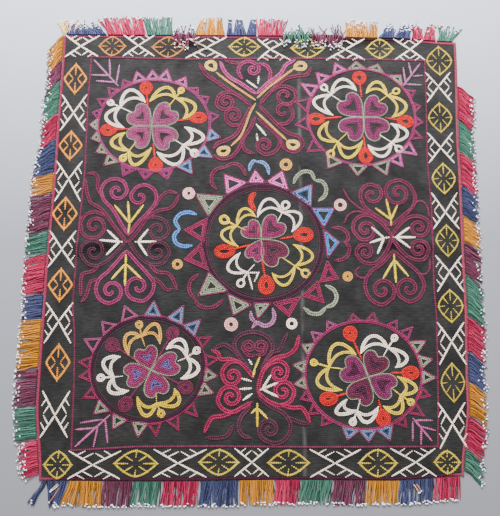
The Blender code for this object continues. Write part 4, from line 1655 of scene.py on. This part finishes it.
class MIRRORCOVER_OT_fringe(bpy.types.Operator):
    """Build the thread fringe and its glass beads"""

    bl_idname = "mirrorcover.fringe"
    bl_label = "Fringe and beads"

    def execute(self, context):
        settings = context.scene.mirror_cover
        radius = settings.thread_radius
        threads, cords, nodes, tips = fringe_lines(settings.thread_pitch / MM, settings.seed)
        tree = thread_tree("threads")
        for colour, hex_colour in THREADS.items():
            material = thread_material("fringe thread " + colour, hex_colour)
            meshes = []
            for lines, thick, sides in ((threads, radius, 4), (cords, 0.7 * MM, 6)):
                mesh = line_mesh("threads", lines[colour])
                meshes.append(grown(tree, mesh, radius=thick, sides=sides, thread=material))
                shade_all_smooth(meshes[-1])
            piece = piece_from("fringe_" + colour, meshes)
            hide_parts(*nodes[colour])
        # A knot of odd ends at the top left corner, and a few that slipped out of the bottom.
        loose = []
        for colour, hex_colour, roots, count in STRAYS:
            lines = stray_lines(roots, count, settings.seed + count)
            material = thread_material("loose thread " + colour, hex_colour)
            mesh = line_mesh("strays", lines)
            loose.append(grown(tree, mesh, radius=radius, sides=5, thread=material))
            tips += lines
        piece_from("loose_thread_ends", loose)
        mesh = grown(bead_tree("beads"), line_mesh("bead tips", tips), bead=seed_bead("seed bead"),
                     seed=settings.seed, glass=bead_material())
        piece_from("seed_beads", [mesh])
        return {"FINISHED"}


# The stage, in metres: half the floor, the camera's place and tilt in degrees, and each light's
# place, size and power.
FLOOR = 3
CAMERA_AT = (-0.0056, -0.2186, 0.9101)
CAMERA_TILT = 12.35
LIGHTS = {
    "window light": ((-0.1, 1.1, 1.0), 1.0, 88.0),
    "fill light": ((0.3, -0.3, 1.7), 1.8, 16.0),
}


class MIRRORCOVER_OT_stage(bpy.types.Operator):
    bl_idname = "mirrorcover.stage"
    bl_label = "Floor, lights and camera"

    def execute(self, context):
        for name in ("chain link", "slant stitch", "seed bead"):
            found = bpy.data.objects.get(name)
            if found:
                bpy.data.objects.remove(found)
        corners = [(x * FLOOR, y * FLOOR, 0) for x, y in ((-1, -1), (1, -1), (1, 1), (-1, 1))]
        floor = template("floor", corners, [(0, 1, 2, 3)])
        floor.data.materials.append(floor_material())
        camera = linked("camera", bpy.data.cameras.new("camera"))
        camera.data.lens = 50
        camera.data.sensor_width = 36
        camera.data.dof.use_dof = False
        camera.location = CAMERA_AT
        camera.rotation_euler = (math.radians(CAMERA_TILT), 0, 0)
        context.scene.camera = camera
        for name, (place, size, power) in LIGHTS.items():
            lamp = linked(name, bpy.data.lights.new(name, "AREA"))
            lamp.data.size = size
            lamp.data.energy = power
            lamp.location = place
            lamp.rotation_euler = Vector(place).to_track_quat("Z", "Y").to_euler()
        world = bpy.data.worlds.new("soft daylight")
        world.use_nodes = True
        sky = world.node_tree.nodes["Background"]
        sky.inputs["Color"].default_value = linear("EEF1F6")
        sky.inputs["Strength"].default_value = 0.52
        context.scene.world = world
        return {"FINISHED"}


STEPS = (
    MIRRORCOVER_OT_cloth,
    MIRRORCOVER_OT_edging,
    MIRRORCOVER_OT_border,
    MIRRORCOVER_OT_medallions,
    MIRRORCOVER_OT_horns,
    MIRRORCOVER_OT_fringe,
    MIRRORCOVER_OT_stage,
)


class MIRRORCOVER_PT_panel(bpy.types.Panel):
    """Settings and steps of the mirror cover"""

    bl_label = "Mirror cover"
    bl_idname = "MIRRORCOVER_PT_panel"
    bl_space_type = "VIEW_3D"
    bl_region_type = "UI"
    bl_category = "Mirror cover"

    def draw(self, context):
        for name in MirrorCoverSettings.__annotations__:
            self.layout.prop(context.scene.mirror_cover, name)
        for step in STEPS:
            self.layout.operator(step.bl_idname)


CLASSES = (MirrorCoverSettings, *STEPS, MIRRORCOVER_PT_panel)


def register():
    for kind in CLASSES:
        bpy.utils.register_class(kind)
    bpy.types.Scene.mirror_cover = bpy.props.PointerProperty(type=MirrorCoverSettings)


def unregister():
    del bpy.types.Scene.mirror_cover
    for kind in reversed(CLASSES):
        bpy.utils.unregister_class(kind)


def main():
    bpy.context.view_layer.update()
    register()
    bpy.ops.mirrorcover.cloth()
    bpy.ops.mirrorcover.edging()
    bpy.ops.mirrorcover.border()
    bpy.ops.mirrorcover.medallions()
    bpy.ops.mirrorcover.horns()
    bpy.ops.mirrorcover.fringe()
    bpy.ops.mirrorcover.stage()


if __name__ == "__main__":
    main()
